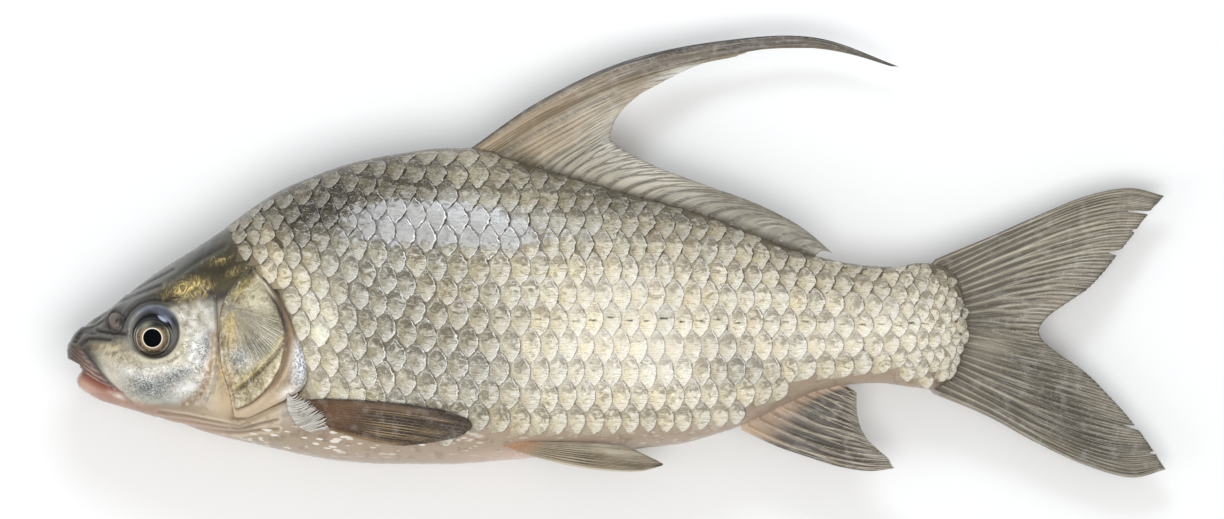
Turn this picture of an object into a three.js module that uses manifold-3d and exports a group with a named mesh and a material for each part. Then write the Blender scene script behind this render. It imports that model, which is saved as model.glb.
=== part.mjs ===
// A whole raw fish: a deep-bodied, laterally flattened sucker with a long trailing dorsal ray, lying on its
// right flank. Millimetres, +Z up. The snout points to -X, the back to +Y and the left flank up to +Z.
// The shape is worked out in the fish's own frame first: x runs back from the snout tip, y up from the
// lateral line to the back, z out from the middle plane to the left. The finished group is then moved so
// that its origin is the middle of the surface that the fish lies on.
import * as THREE from "three";
import { mergeVertices } from "three/addons/utils/BufferGeometryUtils.js";
import Module from "manifold-3d";

const wasm = await Module();
wasm.setup();
const { Manifold, Mesh } = wasm;

// ---------------------------------------------------------------- driving dimensions
const BODY_LENGTH = 299.5; // snout tip to the end of the scaled tail stalk
const REST_HALF_WIDTH = 23.6; // middle plane to the surface that the lower flank is pressed flat on
const GAP = 0.3; // clearance between neighbouring pieces
const STATIONS = 44; // body sections along the length
const AROUND = 32; // points round each body section

const EYE = { x: 28.6, y: -4.6, radius: 7.3, sunk: 5.4 }; // sunk: centre below the head's surface
const GILL_COVER_THICKNESS = 2.2;

const TAIL_SAG = 13; // how far the tail tips droop towards the surface
const SAG_START = 165; // where along the body the droop begins
const SAG_END = 366;
const DORSAL_SAG = 6; // extra droop of the dorsal fin at its full height
const DORSAL_HEIGHT = 45;

// ---------------------------------------------------------------- body profile curves, [x, value]
const BACK = [
  [0, -9.6], [0.4, -6.6], [2, -3.6], [5.3, -0.9], [10.3, 2.4], [20.3, 10], [30.3, 17.2], [40.3, 23.4],
  [50.3, 30], [60.3, 37.5], [70.3, 43.8], [80.3, 48.2], [90.3, 51.9], [100.3, 54.4], [112, 56.5], [125, 58],
  [134, 58], [151, 53], [169, 47.6], [185, 43], [200, 39], [214, 34.9], [226, 30.3], [236, 26.1], [246, 22.8],
  [256, 20.4], [265, 18.9], [275, 18.4], [284, 19.7], [291, 19], [296, 15.4], [298.6, 9], [299.5, -1],
];
const BELLY = [
  [0, -9.6], [0.4, -13.4], [1.6, -17.6], [3.4, -20.8], [7, -23.4], [13.7, -27], [22.3, -29.7], [31.3, -32.4],
  [40.3, -35.1], [50.3, -38], [60.3, -40.3], [70.3, -42.6], [80.3, -44.7], [90.3, -46.3], [105, -47.3],
  [125, -47.4], [145, -46.1], [165, -44.4], [190, -42.2], [205, -40.4], [215, -37.6], [222, -35.4],
  [230, -31.8], [240, -26.9], [250, -22.9], [260, -20.9], [270, -20.4], [280, -21.6], [288, -22.3],
  [293, -20.4], [297, -15], [298.8, -9], [299.5, -1],
];
const WIDEST_LEVEL = [[0, -9.6], [15, -10], [30, -9], [60, -7], [100, -6], [150, -5], [200, -3], [250, -1.4], [299.5, -1]];
const HALF_WIDTH = [
  [0, 0], [0.4, 3], [2, 5.6], [5, 8], [10, 10.6], [20, 14.2], [30, 16.9], [45, 19.8], [60, 22.2], [80, 24.2],
  [100, 25], [130, 25], [150, 23.9], [175, 21.4], [200, 18.2], [225, 14.6], [250, 11], [270, 8.5], [285, 6.9],
  [293, 5.4], [298, 3.2], [299.5, 0],
];
// Section exponents: above the widest level the flank runs up to a narrow back, below it is fuller.
const ABOVE = { y: 1.95, z: 1.85 };
const BELOW = { y: 2.35, z: 2.15 };

// ---------------------------------------------------------------- fin rays
// Each fin is a fan of rays. A key ray is [share across the fin, six points from root to tip]; the rays
// between two key rays are blended from them.
const DORSAL_RAYS = [
  [0, [[133.7, 57.7], [157, 73.7], [185.3, 87], [217, 93.8], [248.7, 95], [277.7, 85]]],
  [0.05, [[137, 57], [161.3, 71.3], [190.3, 83.3], [220.3, 89.6], [248.7, 92.2], [277, 84.6]]],
  [0.085, [[138.2, 56.8], [161.3, 70.4], [187.5, 81.3], [212, 87.6], [234, 91.6], [260, 91]]],
  [0.12, [[139.3, 56.5], [160.5, 69.3], [183.5, 79.5], [203.5, 85.4], [219, 89.2], [234.5, 92]]],
  [0.155, [[140.3, 56.3], [159.5, 68.1], [179, 77.5], [196, 83.2], [209.5, 86.6], [222.5, 88.6]]],
  [0.185, [[141.2, 56], [158.8, 66.8], [176.5, 75.6], [190.3, 80.9], [201.5, 84.2], [212.5, 86.6]]],
  [0.22, [[144.3, 55], [158.7, 62.7], [172, 70], [182, 74.7], [189.3, 78.2], [197.7, 79.8]]],
  [0.29, [[149.3, 53.3], [159.7, 59.7], [169.7, 65.3], [177.7, 70], [183.7, 73], [189.7, 75.3]]],
  [0.38, [[156, 51.3], [162.3, 55.7], [168.3, 59.3], [173.7, 62.7], [178.3, 65.3], [182.7, 68]]],
  [0.46, [[162, 49.3], [166.3, 53], [170.3, 55.7], [174, 58], [177.3, 60], [180.7, 61.7]]],
  [0.56, [[172, 46.3], [176, 49.7], [180, 51.3], [184, 52.5], [188, 53.3], [192, 53.7]]],
  [0.67, [[187, 42], [192, 44.8], [197, 46], [202.3, 46.3], [207.3, 46.2], [212.3, 45.7]]],
  [0.78, [[203.7, 37.7], [208.7, 40.2], [214, 41], [219.3, 41], [224.3, 40.3], [229.3, 39.5]]],
  [0.89, [[223.7, 31], [227.7, 33.7], [232, 34.3], [236.3, 34], [240.7, 33], [244.7, 31.3]]],
  [1, [[248.7, 22], [250, 23.2], [251.3, 23.7], [253, 23.5], [254.3, 23], [255.7, 21.9]]],
];
const TAIL_RAYS = [
  [0, [[289, 21], [305.3, 27.7], [322, 35], [338.7, 41.8], [353.7, 44.7], [366, 42]]],
  [0.12, [[293, 16.7], [307.7, 23.7], [323, 30.3], [338, 36], [351, 38.7], [362, 38]]],
  [0.25, [[296, 11.7], [308, 16.3], [320.3, 20.7], [332.7, 24.3], [344.3, 27], [354.3, 27.7]]],
  [0.37, [[297.7, 6.3], [305.3, 8.3], [313.7, 10.7], [322.3, 12.3], [331.3, 13.7], [342.3, 13]]],
  [0.5, [[298.7, -0.7], [303.7, -1], [308.7, -1.3], [313.7, -2], [318.7, -2.5], [323.7, -3]]],
  [0.63, [[297.7, -8], [305.3, -9.7], [313.7, -11.7], [322.3, -13.7], [331.3, -15.7], [341, -18.3]]],
  [0.75, [[296, -13.3], [308, -18.3], [320.3, -23], [332.7, -27.3], [344.3, -30.7], [355.3, -33.7]]],
  [0.88, [[293, -18.7], [307.7, -26.3], [323, -34.3], [338, -40.7], [351, -44], [362.7, -43.7]]],
  [1, [[288.3, -24], [305.3, -31], [322, -40], [338.7, -47.7], [354.3, -52], [366.3, -49.3]]],
];
const ANAL_RAYS = [
  [0, [[224.3, -36], [235.3, -41.2], [246.3, -45], [257, -48.3], [267, -49.7], [276, -48.7]]],
  [0.2, [[231, -32], [240.3, -36.7], [249.3, -40], [258, -42.7], [266, -44.3], [273.3, -45.3]]],
  [0.4, [[237.7, -28.3], [243.7, -31.3], [250.3, -34.3], [256.3, -36.3], [262, -38], [267, -39.7]]],
  [0.6, [[244.3, -25], [248.7, -27], [252.7, -29], [256.7, -30.7], [260.3, -32.3], [263.7, -34]]],
  [0.8, [[251, -22.7], [253.7, -24], [256.3, -25], [258.7, -26], [261, -27], [262.7, -28]]],
  [1, [[258.7, -21], [259.7, -21.7], [260.3, -22.2], [261.3, -22.7], [262, -23.2], [262.7, -23.7]]],
];
const PECTORAL_RAYS = [
  [0, [[78.3, -25.7], [90.3, -25.5], [102, -26.2], [113.7, -27.3], [125.3, -29.3], [133.7, -32.3]]],
  [0.25, [[81, -28], [92, -28.3], [103, -29.3], [114.3, -30.7], [125.3, -32.3], [135, -34.3]]],
  [0.5, [[83.3, -30.7], [93, -31.7], [103, -33], [113, -34.3], [123, -36], [132.3, -37.3]]],
  [0.75, [[85.7, -33.3], [93.3, -35], [101, -36.5], [109, -37.8], [116.7, -38.8], [124, -39.7]]],
  [1, [[87.7, -36], [92.3, -37.5], [97, -38.8], [102, -40], [107, -40.7], [111.7, -41.2]]],
];
const PELVIC_RAYS = [
  [0, [[145.7, -41.7], [157, -45.3], [168.3, -48], [179.7, -49.5], [190.3, -49.7], [198, -47.7]]],
  [0.33, [[148, -41], [158.7, -43.3], [169.3, -45], [179.7, -46.3], [189.7, -47.3], [198.3, -47.3]]],
  [0.66, [[150.7, -40.3], [159.7, -41.5], [168.7, -42.5], [177, -43.3], [185, -44.2], [193, -44.7]]],
  [1, [[153.7, -39.7], [160.7, -39.8], [167.7, -40], [174.3, -40.2], [180.3, -40.5], [186, -41.3]]],
];

// The gill cover's outline: hinge line in front, free edge behind.
const GILL_COVER_OUTLINE = [
  [50.2, 8.6], [56, 14.6], [62.4, 18.4], [67, 12.6], [71.4, 5], [75.2, -2.6], [78.4, -9.6], [79.6, -15],
  [78.4, -20], [74.8, -24], [68.8, -27.6], [62, -30.6], [55.5, -31], [50.6, -26], [49.4, -17], [49.4, -4],
];
// The mouth's cleft, from in front of the snout to its corner and back.
const MOUTH_CLEFT = [
  [-3, -11.6], [0.6, -12.9], [2.2, -14.7], [4.4, -16.9], [7.5, -19], [11, -21], [14.6, -22.6], [11, -21.9],
  [7, -19.7], [4.2, -18], [2.4, -18.9], [-3, -18.6],
];

// ---------------------------------------------------------------- curves
// Smooth curve through the points, as a function of x: cubic pieces whose slopes never overshoot.
function smoothThrough(points) {
  const n = points.length;
  const steep = points.slice(1).map(([x, v], i) => (v - points[i][1]) / (x - points[i][0]));
  const slope = points.map((_, i) => {
    if (i === 0) return steep[0];
    if (i === n - 1) return steep[n - 2];
    const a = steep[i - 1];
    const b = steep[i];
    return a * b <= 0 ? 0 : (2 * a * b) / (a + b);
  });
  return (x) => {
    let i = points.findIndex((p) => p[0] > x) - 1;
    if (i < -1) i = n - 2;
    i = Math.max(0, Math.min(n - 2, i));
    const span = points[i + 1][0] - points[i][0];
    const t = Math.max(0, Math.min(1, (x - points[i][0]) / span));
    const s = t * t * (3 - 2 * t);
    const bend = t * (1 - t) * span;
    return (
      points[i][1] * (1 - s) + points[i + 1][1] * s + bend * ((1 - t) * slope[i] - t * slope[i + 1])
    );
  };
}

const back = smoothThrough(BACK);
const belly = smoothThrough(BELLY);
const widestLevel = smoothThrough(WIDEST_LEVEL);
const halfWidth = smoothThrough(HALF_WIDTH);

// How far the whole fish droops at x, because the surface holds up only its thickest part.
const sag = (x) => TAIL_SAG * Math.max(0, (x - SAG_START) / (SAG_END - SAG_START)) ** 2;

// The flank's distance from the middle plane at side-view place x, y; 0 outside the body.
function flank(x, y) {
  const level = widestLevel(x);
  const reach = y > level ? back(x) - level : level - belly(x);
  const e = y > level ? ABOVE : BELOW;
  const t = Math.min(1, Math.abs(y - level) / Math.max(reach, 1e-6));
  return halfWidth(x) * (1 - t ** e.y) ** (1 / e.z);
}

// ---------------------------------------------------------------- solids
// A closed mesh geometry as a manifold-3d solid.
function solidOf(geometry) {
  const bare = geometry.index ? geometry.toNonIndexed() : geometry.clone();
  bare.deleteAttribute("normal");
  bare.deleteAttribute("uv");
  const merged = mergeVertices(bare, 1e-4);
  const solid = new Manifold(
    new Mesh({
      numProp: 3,
      vertProperties: new Float32Array(merged.attributes.position.array),
      triVerts: new Uint32Array(merged.index.array),
    }),
  );
  return solid;
}

// A manifold-3d solid as a geometry.
function geometryOf(solid) {
  const m = solid.getMesh();
  const geometry = new THREE.BufferGeometry();
  geometry.setAttribute("position", new THREE.BufferAttribute(m.vertProperties, 3));
  geometry.setIndex(new THREE.BufferAttribute(m.triVerts, 1));
  const flat = geometry.toNonIndexed();
  flat.computeVertexNormals();
  return flat;
}

function geometryFrom(points, triangles) {
  const geometry = new THREE.BufferGeometry();
  geometry.setAttribute("position", new THREE.Float32BufferAttribute(points.flat(), 3));
  geometry.setIndex(triangles);
  return geometry;
}

// The body's skin moved inwards by `inset`: rings of points from snout to tail stalk, closed at both ends.
function bodyLoft(inset = 0) {
  const rings = [];
  for (let i = 1; i < STATIONS; i += 1) {
    const x = (BODY_LENGTH * (1 - Math.cos((Math.PI * i) / STATIONS))) / 2;
    const level = widestLevel(x);
    const wide = Math.max(0.4, halfWidth(x) - inset);
    const ring = [];
    for (let j = 0; j < AROUND; j += 1) {
      const angle = (2 * Math.PI * j) / AROUND;
      const c = Math.cos(angle);
      const s = Math.sin(angle);
      const reach = Math.max(0.4, (c > 0 ? back(x) - level : level - belly(x)) - inset);
      const e = c > 0 ? ABOVE : BELOW;
      ring.push([
        x,
        level + reach * Math.sign(c) * Math.abs(c) ** (2 / e.y),
        wide * Math.sign(s) * Math.abs(s) ** (2 / e.z) - sag(x),
      ]);
    }
    rings.push(ring);
  }
  const points = rings.flat();
  const snout = points.push([inset, widestLevel(0), 0]) - 1;
  const stalk = points.push([BODY_LENGTH - inset, widestLevel(BODY_LENGTH), -sag(BODY_LENGTH)]) - 1;
  const last = (rings.length - 1) * AROUND;
  const triangles = [];
  for (let j = 0; j < AROUND; j += 1) {
    const k = (j + 1) % AROUND;
    triangles.push(snout, k, j, stalk, last + j, last + k);
    for (let i = 0; i < rings.length - 1; i += 1) {
      const a = i * AROUND;
      const b = a + AROUND;
      triangles.push(a + j, a + k, b + j, a + k, b + k, b + j);
    }
  }
  return solidOf(geometryFrom(points, triangles));
}

// Catmull-Rom blend of four numbers at t between the middle two.
const blend4 = (a, b, c, d, t) =>
  b + 0.5 * t * (c - a + t * (2 * a - 5 * b + 4 * c - d + t * (3 * (b - c) + d - a)));

// The point at share t of the way out along one ray.
function alongRay(points, t) {
  const at = Math.max(0, Math.min(0.999999, t)) * (points.length - 1);
  const i = Math.floor(at);
  const p = (k) =>
    k < 0
      ? [0, 1].map((q) => 2 * points[0][q] - points[1][q])
      : k >= points.length
        ? [0, 1].map((q) => 2 * points[k - 1][q] - points[k - 2][q])
        : points[k];
  return [0, 1].map((q) => blend4(p(i - 1)[q], p(i)[q], p(i + 1)[q], p(i + 2)[q], at - i));
}

// The side-view place at share r across a fin and t out along it. A t below 0 runs in under the skin.
// root(r) is the step from the skin to the fin's buried edge.
function finPlace(rays, r, t, root) {
  let i = rays.findIndex((ray) => ray[0] > r) - 1;
  if (i < 0) i = rays.length - 2;
  const share = (r - rays[i][0]) / (rays[i + 1][0] - rays[i][0]);
  const a = alongRay(rays[i][1], t);
  const b = alongRay(rays[i + 1][1], t);
  const deep = Math.min(0, t);
  const step = root(r);
  return [0, 1].map((q) => a[q] * (1 - share) + b[q] * share - deep * step[q]);
}

// A fin as a thin closed solid. lift(x, y, t) gives the sheet's height from the middle plane, thick is
// [at root, at edge], grow widens it all round.
function finSolid({ rays, root, lift, thick, across, out, side = 1 }, grow = 0) {
  const points = [];
  for (const face of [1, -1])
    for (let i = 0; i <= across; i += 1)
      for (let j = 0; j <= out; j += 1) {
        const t = -1 + (2 * j) / out - (j === 0 ? grow / Math.hypot(...root(i / across)) : 0);
        const outward = t < 0 ? t : t * (1 + grow / 60);
        let [x, y] = finPlace(rays, i / across, outward, root);
        if (grow) {
          const [nx, ny] = finPlace(rays, i === 0 ? 0.04 : i === across ? 0.96 : i / across, outward, root);
          const d = Math.hypot(x - nx, y - ny);
          if (d > 0) [x, y] = [x + ((x - nx) / d) * grow, y + ((y - ny) / d) * grow];
        }
        const half = (thick[0] + (thick[1] - thick[0]) * Math.max(0, t)) / 2 + grow;
        points.push([x, y, side * lift(x, y, t) + face * half - sag(x)]);
      }
  const row = out + 1;
  const sheet = row * (across + 1);
  const triangles = [];
  const quad = (a, b, c, d) => triangles.push(a, b, c, a, c, d);
  for (let i = 0; i < across; i += 1)
    for (let j = 0; j < out; j += 1) {
      const a = i * row + j;
      quad(a, a + row, a + row + 1, a + 1);
      quad(sheet + a, sheet + a + 1, sheet + a + row + 1, sheet + a + row);
    }
  for (let i = 0; i < across; i += 1) {
    const a = i * row;
    const b = a + out;
    quad(a + row, a, sheet + a, sheet + a + row);
    quad(b, b + row, sheet + b + row, sheet + b);
  }
  for (let j = 0; j < out; j += 1) {
    const b = across * row + j;
    quad(j, j + 1, sheet + j + 1, sheet + j);
    quad(b + 1, b, sheet + b, sheet + b + 1);
  }
  const geometry = geometryFrom(points, triangles);
  const made = solidOf(geometry);
  return made.volume() > 0 ? made : solidOf(geometryFrom(points, triangles.reverse()));
}

// A side-view outline pushed through the fish from z = low to z = high.
function prism(outline, low, high) {
  const shape = new THREE.Shape(outline.map(([x, y]) => new THREE.Vector2(x, y)));
  const geometry = new THREE.ExtrudeGeometry(shape, { depth: high - low, bevelEnabled: false });
  return solidOf(geometry.translate(0, 0, low));
}

// An outline moved outwards by `by` at every corner.
function grown(outline, by) {
  const n = outline.length;
  const area = outline.reduce((sum, [x, y], i) => {
    const [u, v] = outline[(i + 1) % n];
    return sum + x * v - u * y;
  }, 0);
  return outline.map(([x, y], i) => {
    const [a, b] = [outline[(i + n - 1) % n], outline[(i + 1) % n]];
    const [dx, dy] = [b[0] - a[0], b[1] - a[1]];
    const k = (by * Math.sign(area)) / Math.hypot(dx, dy);
    return [x + dy * k, y - dx * k];
  });
}

function ball(radius, side) {
  const place = side * (flank(EYE.x, EYE.y) - EYE.sunk);
  return solidOf(new THREE.SphereGeometry(radius, 16, 12).translate(EYE.x, EYE.y, place));
}

// ---------------------------------------------------------------- the fins' placing
const middle = { lift: () => 0 };
const above = (x, y) => Math.max(0, y - back(Math.min(x, BODY_LENGTH)));
const FINS = {
  dorsal_fin: {
    rays: DORSAL_RAYS, root: () => [1, -5], thick: [2.4, 1.1], across: 27, out: 13,
    lift: (x, y) => -DORSAL_SAG * Math.min(1.2, above(x, y) / DORSAL_HEIGHT) ** 2,
  },
  tail_fin: { rays: TAIL_RAYS, root: (r) => [-6, 12 * r - 6], thick: [3, 1.1], across: 20, out: 9, ...middle },
  anal_fin: { rays: ANAL_RAYS, root: () => [-1, 4], thick: [2.4, 1], across: 8, out: 8, ...middle },
};
const PAIRED = {
  pectoral_fin: {
    rays: PECTORAL_RAYS, root: () => [-4, 0.5], thick: [2, 1], across: 8, out: 9,
    lift: (x, y, t) => flank(x, y) + 1.1 - 3.6 * Math.max(0, 0.14 - t) / 0.5 + 0.5 * Math.max(0, t),
  },
  pelvic_fin: {
    rays: PELVIC_RAYS, root: () => [-3.5, 2], thick: [2, 1], across: 6, out: 9,
    lift: (x, y, t) => 13.9 - 0.1 * (x - 160) - 0.35 * (-40 - y) - 4.5 * Math.max(0, 0.2 - t),
  },
};
// The lower fins lie pressed between the flank and the surface, so they stay clear of the surface.
for (const [name, fin] of Object.entries(PAIRED)) {
  const pressed = (x, y, t) => Math.min(fin.lift(x, y, t), REST_HALF_WIDTH - fin.thick[0] / 2 - GAP / 2);
  FINS[`left_${name}`] = { ...fin, side: 1 };
  FINS[`right_${name}`] = { ...fin, side: -1, lift: pressed };
}

// ---------------------------------------------------------------- the pieces
const skin = bodyLoft();
const solids = {};
let body = skin.subtract(prism(MOUTH_CLEFT, -30, 30));

for (const [name, fin] of Object.entries(FINS)) {
  solids[name] = finSolid(fin);
  body = body.subtract(finSolid(fin, GAP));
}

const underCover = bodyLoft(GILL_COVER_THICKNESS);
const underCut = bodyLoft(GILL_COVER_THICKNESS + GAP);
for (const [name, side] of [["left", 1], ["right", -1]]) {
  solids[`${name}_eye`] = ball(EYE.radius, side);
  body = body.subtract(ball(EYE.radius + GAP, side));
  const [low, high] = side > 0 ? [2, 40] : [-40, -2];
  const cover = prism(GILL_COVER_OUTLINE, low, high);
  const opening = prism(grown(GILL_COVER_OUTLINE, GAP), low, high);
  solids[`${name}_gill_cover`] = skin.intersect(cover).subtract(underCover);
  body = body.subtract(opening.subtract(underCut));
}

// The weight presses the lower flank flat where it rests.
const FAR = 400;
const surface = solidOf(
  new THREE.BoxGeometry(2 * FAR, 2 * FAR, FAR).translate(FAR / 2, 0, -FAR / 2 - REST_HALF_WIDTH),
);
const largest = (solid) => solid.decompose().sort((a, b) => b.volume() - a.volume())[0];
solids.body = largest(body.subtract(surface));
for (const side of ["left", "right"])
  solids[`${side}_gill_cover`] = largest(solids[`${side}_gill_cover`].subtract(surface));

// ---------------------------------------------------------------- materials
const paint = (color, roughness, metalness) => new THREE.MeshStandardMaterial({ color, roughness, metalness });
const SKIN = paint(0xaaa694, 0.35, 0.3);
const COVER = paint(0xb3a986, 0.35, 0.3);
const FIN = paint(0x857a6c, 0.5, 0);
const EYEBALL = paint(0x2a2622, 0.08, 0);
const materialOf = (name) =>
  name === "body" ? SKIN : name.endsWith("eye") ? EYEBALL : name.endsWith("cover") ? COVER : FIN;

// ---------------------------------------------------------------- assembly
const fish = new THREE.Group();
for (const [name, solid] of Object.entries(solids)) {
  const mesh = new THREE.Mesh(geometryOf(solid), materialOf(name));
  mesh.name = name;
  fish.add(mesh);
}
// The origin goes to the middle of the object's footprint, on the surface it lies on.
const box = new THREE.Box3().setFromObject(fish);
fish.position.set(-(box.min.x + box.max.x) / 2, -(box.min.y + box.max.y) / 2, REST_HALF_WIDTH);

const part = new THREE.Group();
part.add(fish);

export default part;
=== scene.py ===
"""A whole raw fish lying on its right flank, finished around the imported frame.

The shape is worked out in the fish's own frame, in millimetres: x runs back from the snout tip, y up from the
lateral line to the back, z out from the middle plane to the left flank. `settle` droops the tail, presses the
lower flank flat and moves everything into the shared frame, in metres.
"""

import functools
import math

import bpy
import numpy as np
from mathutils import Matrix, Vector


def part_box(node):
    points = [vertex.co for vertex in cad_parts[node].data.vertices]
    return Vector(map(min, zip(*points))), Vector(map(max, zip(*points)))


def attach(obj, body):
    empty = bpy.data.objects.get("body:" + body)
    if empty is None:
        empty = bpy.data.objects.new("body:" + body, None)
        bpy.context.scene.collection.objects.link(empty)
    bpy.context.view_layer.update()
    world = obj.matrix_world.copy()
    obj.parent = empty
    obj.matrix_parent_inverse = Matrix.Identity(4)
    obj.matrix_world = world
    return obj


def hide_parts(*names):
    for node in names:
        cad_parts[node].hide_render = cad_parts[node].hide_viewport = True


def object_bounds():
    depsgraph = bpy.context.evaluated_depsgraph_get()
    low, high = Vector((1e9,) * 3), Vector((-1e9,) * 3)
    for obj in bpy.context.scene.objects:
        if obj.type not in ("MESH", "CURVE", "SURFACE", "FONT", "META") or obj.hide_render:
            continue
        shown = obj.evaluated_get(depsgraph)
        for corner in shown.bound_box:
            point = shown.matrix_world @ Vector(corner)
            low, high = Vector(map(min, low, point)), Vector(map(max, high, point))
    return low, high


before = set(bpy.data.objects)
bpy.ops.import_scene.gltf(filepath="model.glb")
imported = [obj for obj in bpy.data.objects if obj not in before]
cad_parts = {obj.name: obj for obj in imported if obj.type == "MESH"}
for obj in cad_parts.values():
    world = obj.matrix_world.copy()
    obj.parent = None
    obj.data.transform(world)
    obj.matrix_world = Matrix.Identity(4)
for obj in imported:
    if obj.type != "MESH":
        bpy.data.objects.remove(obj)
cad_low, cad_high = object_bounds()

MM = 0.001
LEFT, RIGHT = 1, -1
SIDES = {"left": LEFT, "right": RIGHT}

# ---------------------------------------------------------------- profiles, [x, value] in millimetres
BODY_LENGTH = 299.5
REST_HALF_WIDTH = 23.6
TAIL_SAG, SAG_START, SAG_END = 13, 165, 366
DORSAL_SAG, DORSAL_HEIGHT = 6, 45
BACK = [
    [0, -9.6], [0.4, -6.6], [2, -3.6], [5.3, -0.9], [10.3, 2.4], [20.3, 10], [30.3, 17.2], [40.3, 23.4],
    [50.3, 30], [60.3, 37.5], [70.3, 43.8], [80.3, 48.2], [90.3, 51.9], [100.3, 54.4], [112, 56.5],
    [125, 58], [134, 58], [151, 53], [169, 47.6], [185, 43], [200, 39], [214, 34.9], [226, 30.3],
    [236, 26.1], [246, 22.8], [256, 20.4], [265, 18.9], [275, 18.4], [284, 19.7], [291, 19], [296, 15.4],
    [298.6, 9], [299.5, -1],
]
BELLY = [
    [0, -9.6], [0.4, -13.4], [1.6, -17.6], [3.4, -20.8], [7, -23.4], [13.7, -27], [22.3, -29.7],
    [31.3, -32.4], [40.3, -35.1], [50.3, -38], [60.3, -40.3], [70.3, -42.6], [80.3, -44.7], [90.3, -46.3],
    [105, -47.3], [125, -47.4], [145, -46.1], [165, -44.4], [190, -42.2], [205, -40.4], [215, -37.6],
    [222, -35.4], [230, -31.8], [240, -26.9], [250, -22.9], [260, -20.9], [270, -20.4], [280, -21.6],
    [288, -22.3], [293, -20.4], [297, -15], [298.8, -9], [299.5, -1],
]
WIDEST_LEVEL = [
    [0, -9.6], [15, -10], [30, -9], [60, -7], [100, -6], [150, -5], [200, -3], [250, -1.4], [299.5, -1]
]
HALF_WIDTH = [
    [0, 0], [0.4, 3], [2, 5.6], [5, 8], [10, 10.6], [20, 14.2], [30, 16.9], [45, 19.8], [60, 22.2],
    [80, 24.2], [100, 25], [130, 25], [150, 23.9], [175, 21.4], [200, 18.2], [225, 14.6], [250, 11],
    [270, 8.5], [285, 6.9], [293, 5.4], [298, 3.2], [299.5, 0],
]
ABOVE = (1.95, 1.85)  # section exponents (y, z) above the widest level
BELOW = (2.35, 2.15)

# ---------------------------------------------------------------- fin rays: share across, six points out
DORSAL_RAYS = [
    [0, [[133.7, 57.7], [157, 73.7], [185.3, 87], [217, 93.8], [248.7, 95], [277.7, 85]]],
    [0.05, [[137, 57], [161.3, 71.3], [190.3, 83.3], [220.3, 89.6], [248.7, 92.2], [277, 84.6]]],
    [0.085, [[138.2, 56.8], [161.3, 70.4], [187.5, 81.3], [212, 87.6], [234, 91.6], [260, 91]]],
    [0.12, [[139.3, 56.5], [160.5, 69.3], [183.5, 79.5], [203.5, 85.4], [219, 89.2], [234.5, 92]]],
    [0.155, [[140.3, 56.3], [159.5, 68.1], [179, 77.5], [196, 83.2], [209.5, 86.6], [222.5, 88.6]]],
    [0.185, [[141.2, 56], [158.8, 66.8], [176.5, 75.6], [190.3, 80.9], [201.5, 84.2], [212.5, 86.6]]],
    [0.22, [[144.3, 55], [158.7, 62.7], [172, 70], [182, 74.7], [189.3, 78.2], [197.7, 79.8]]],
    [0.29, [[149.3, 53.3], [159.7, 59.7], [169.7, 65.3], [177.7, 70], [183.7, 73], [189.7, 75.3]]],
    [0.38, [[156, 51.3], [162.3, 55.7], [168.3, 59.3], [173.7, 62.7], [178.3, 65.3], [182.7, 68]]],
    [0.46, [[162, 49.3], [166.3, 53], [170.3, 55.7], [174, 58], [177.3, 60], [180.7, 61.7]]],
    [0.56, [[172, 46.3], [176, 49.7], [180, 51.3], [184, 52.5], [188, 53.3], [192, 53.7]]],
    [0.67, [[187, 42], [192, 44.8], [197, 46], [202.3, 46.3], [207.3, 46.2], [212.3, 45.7]]],
    [0.78, [[203.7, 37.7], [208.7, 40.2], [214, 41], [219.3, 41], [224.3, 40.3], [229.3, 39.5]]],
    [0.89, [[223.7, 31], [227.7, 33.7], [232, 34.3], [236.3, 34], [240.7, 33], [244.7, 31.3]]],
    [1, [[248.7, 22], [250, 23.2], [251.3, 23.7], [253, 23.5], [254.3, 23], [255.7, 21.9]]],
]
TAIL_RAYS = [
    [0, [[289, 21], [305.3, 27.7], [322, 35], [338.7, 41.8], [353.7, 44.7], [366, 42]]],
    [0.12, [[293, 16.7], [307.7, 23.7], [323, 30.3], [338, 36], [351, 38.7], [362, 38]]],
    [0.25, [[296, 11.7], [308, 16.3], [320.3, 20.7], [332.7, 24.3], [344.3, 27], [354.3, 27.7]]],
    [0.37, [[297.7, 6.3], [305.3, 8.3], [313.7, 10.7], [322.3, 12.3], [331.3, 13.7], [342.3, 13]]],
    [0.5, [[298.7, -0.7], [303.7, -1], [308.7, -1.3], [313.7, -2], [318.7, -2.5], [323.7, -3]]],
    [0.63, [[297.7, -8], [305.3, -9.7], [313.7, -11.7], [322.3, -13.7], [331.3, -15.7], [341, -18.3]]],
    [0.75, [[296, -13.3], [308, -18.3], [320.3, -23], [332.7, -27.3], [344.3, -30.7], [355.3, -33.7]]],
    [0.88, [[293, -18.7], [307.7, -26.3], [323, -34.3], [338, -40.7], [351, -44], [362.7, -43.7]]],
    [1, [[288.3, -24], [305.3, -31], [322, -40], [338.7, -47.7], [354.3, -52], [366.3, -49.3]]],
]
ANAL_RAYS = [
    [0, [[224.3, -36], [235.3, -41.2], [246.3, -45], [257, -48.3], [267, -49.7], [276, -48.7]]],
    [0.2, [[231, -32], [240.3, -36.7], [249.3, -40], [258, -42.7], [266, -44.3], [273.3, -45.3]]],
    [0.4, [[237.7, -28.3], [243.7, -31.3], [250.3, -34.3], [256.3, -36.3], [262, -38], [267, -39.7]]],
    [0.6, [[244.3, -25], [248.7, -27], [252.7, -29], [256.7, -30.7], [260.3, -32.3], [263.7, -34]]],
    [0.8, [[251, -22.7], [253.7, -24], [256.3, -25], [258.7, -26], [261, -27], [262.7, -28]]],
    [1, [[258.7, -21], [259.7, -21.7], [260.3, -22.2], [261.3, -22.7], [262, -23.2], [262.7, -23.7]]],
]
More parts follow.
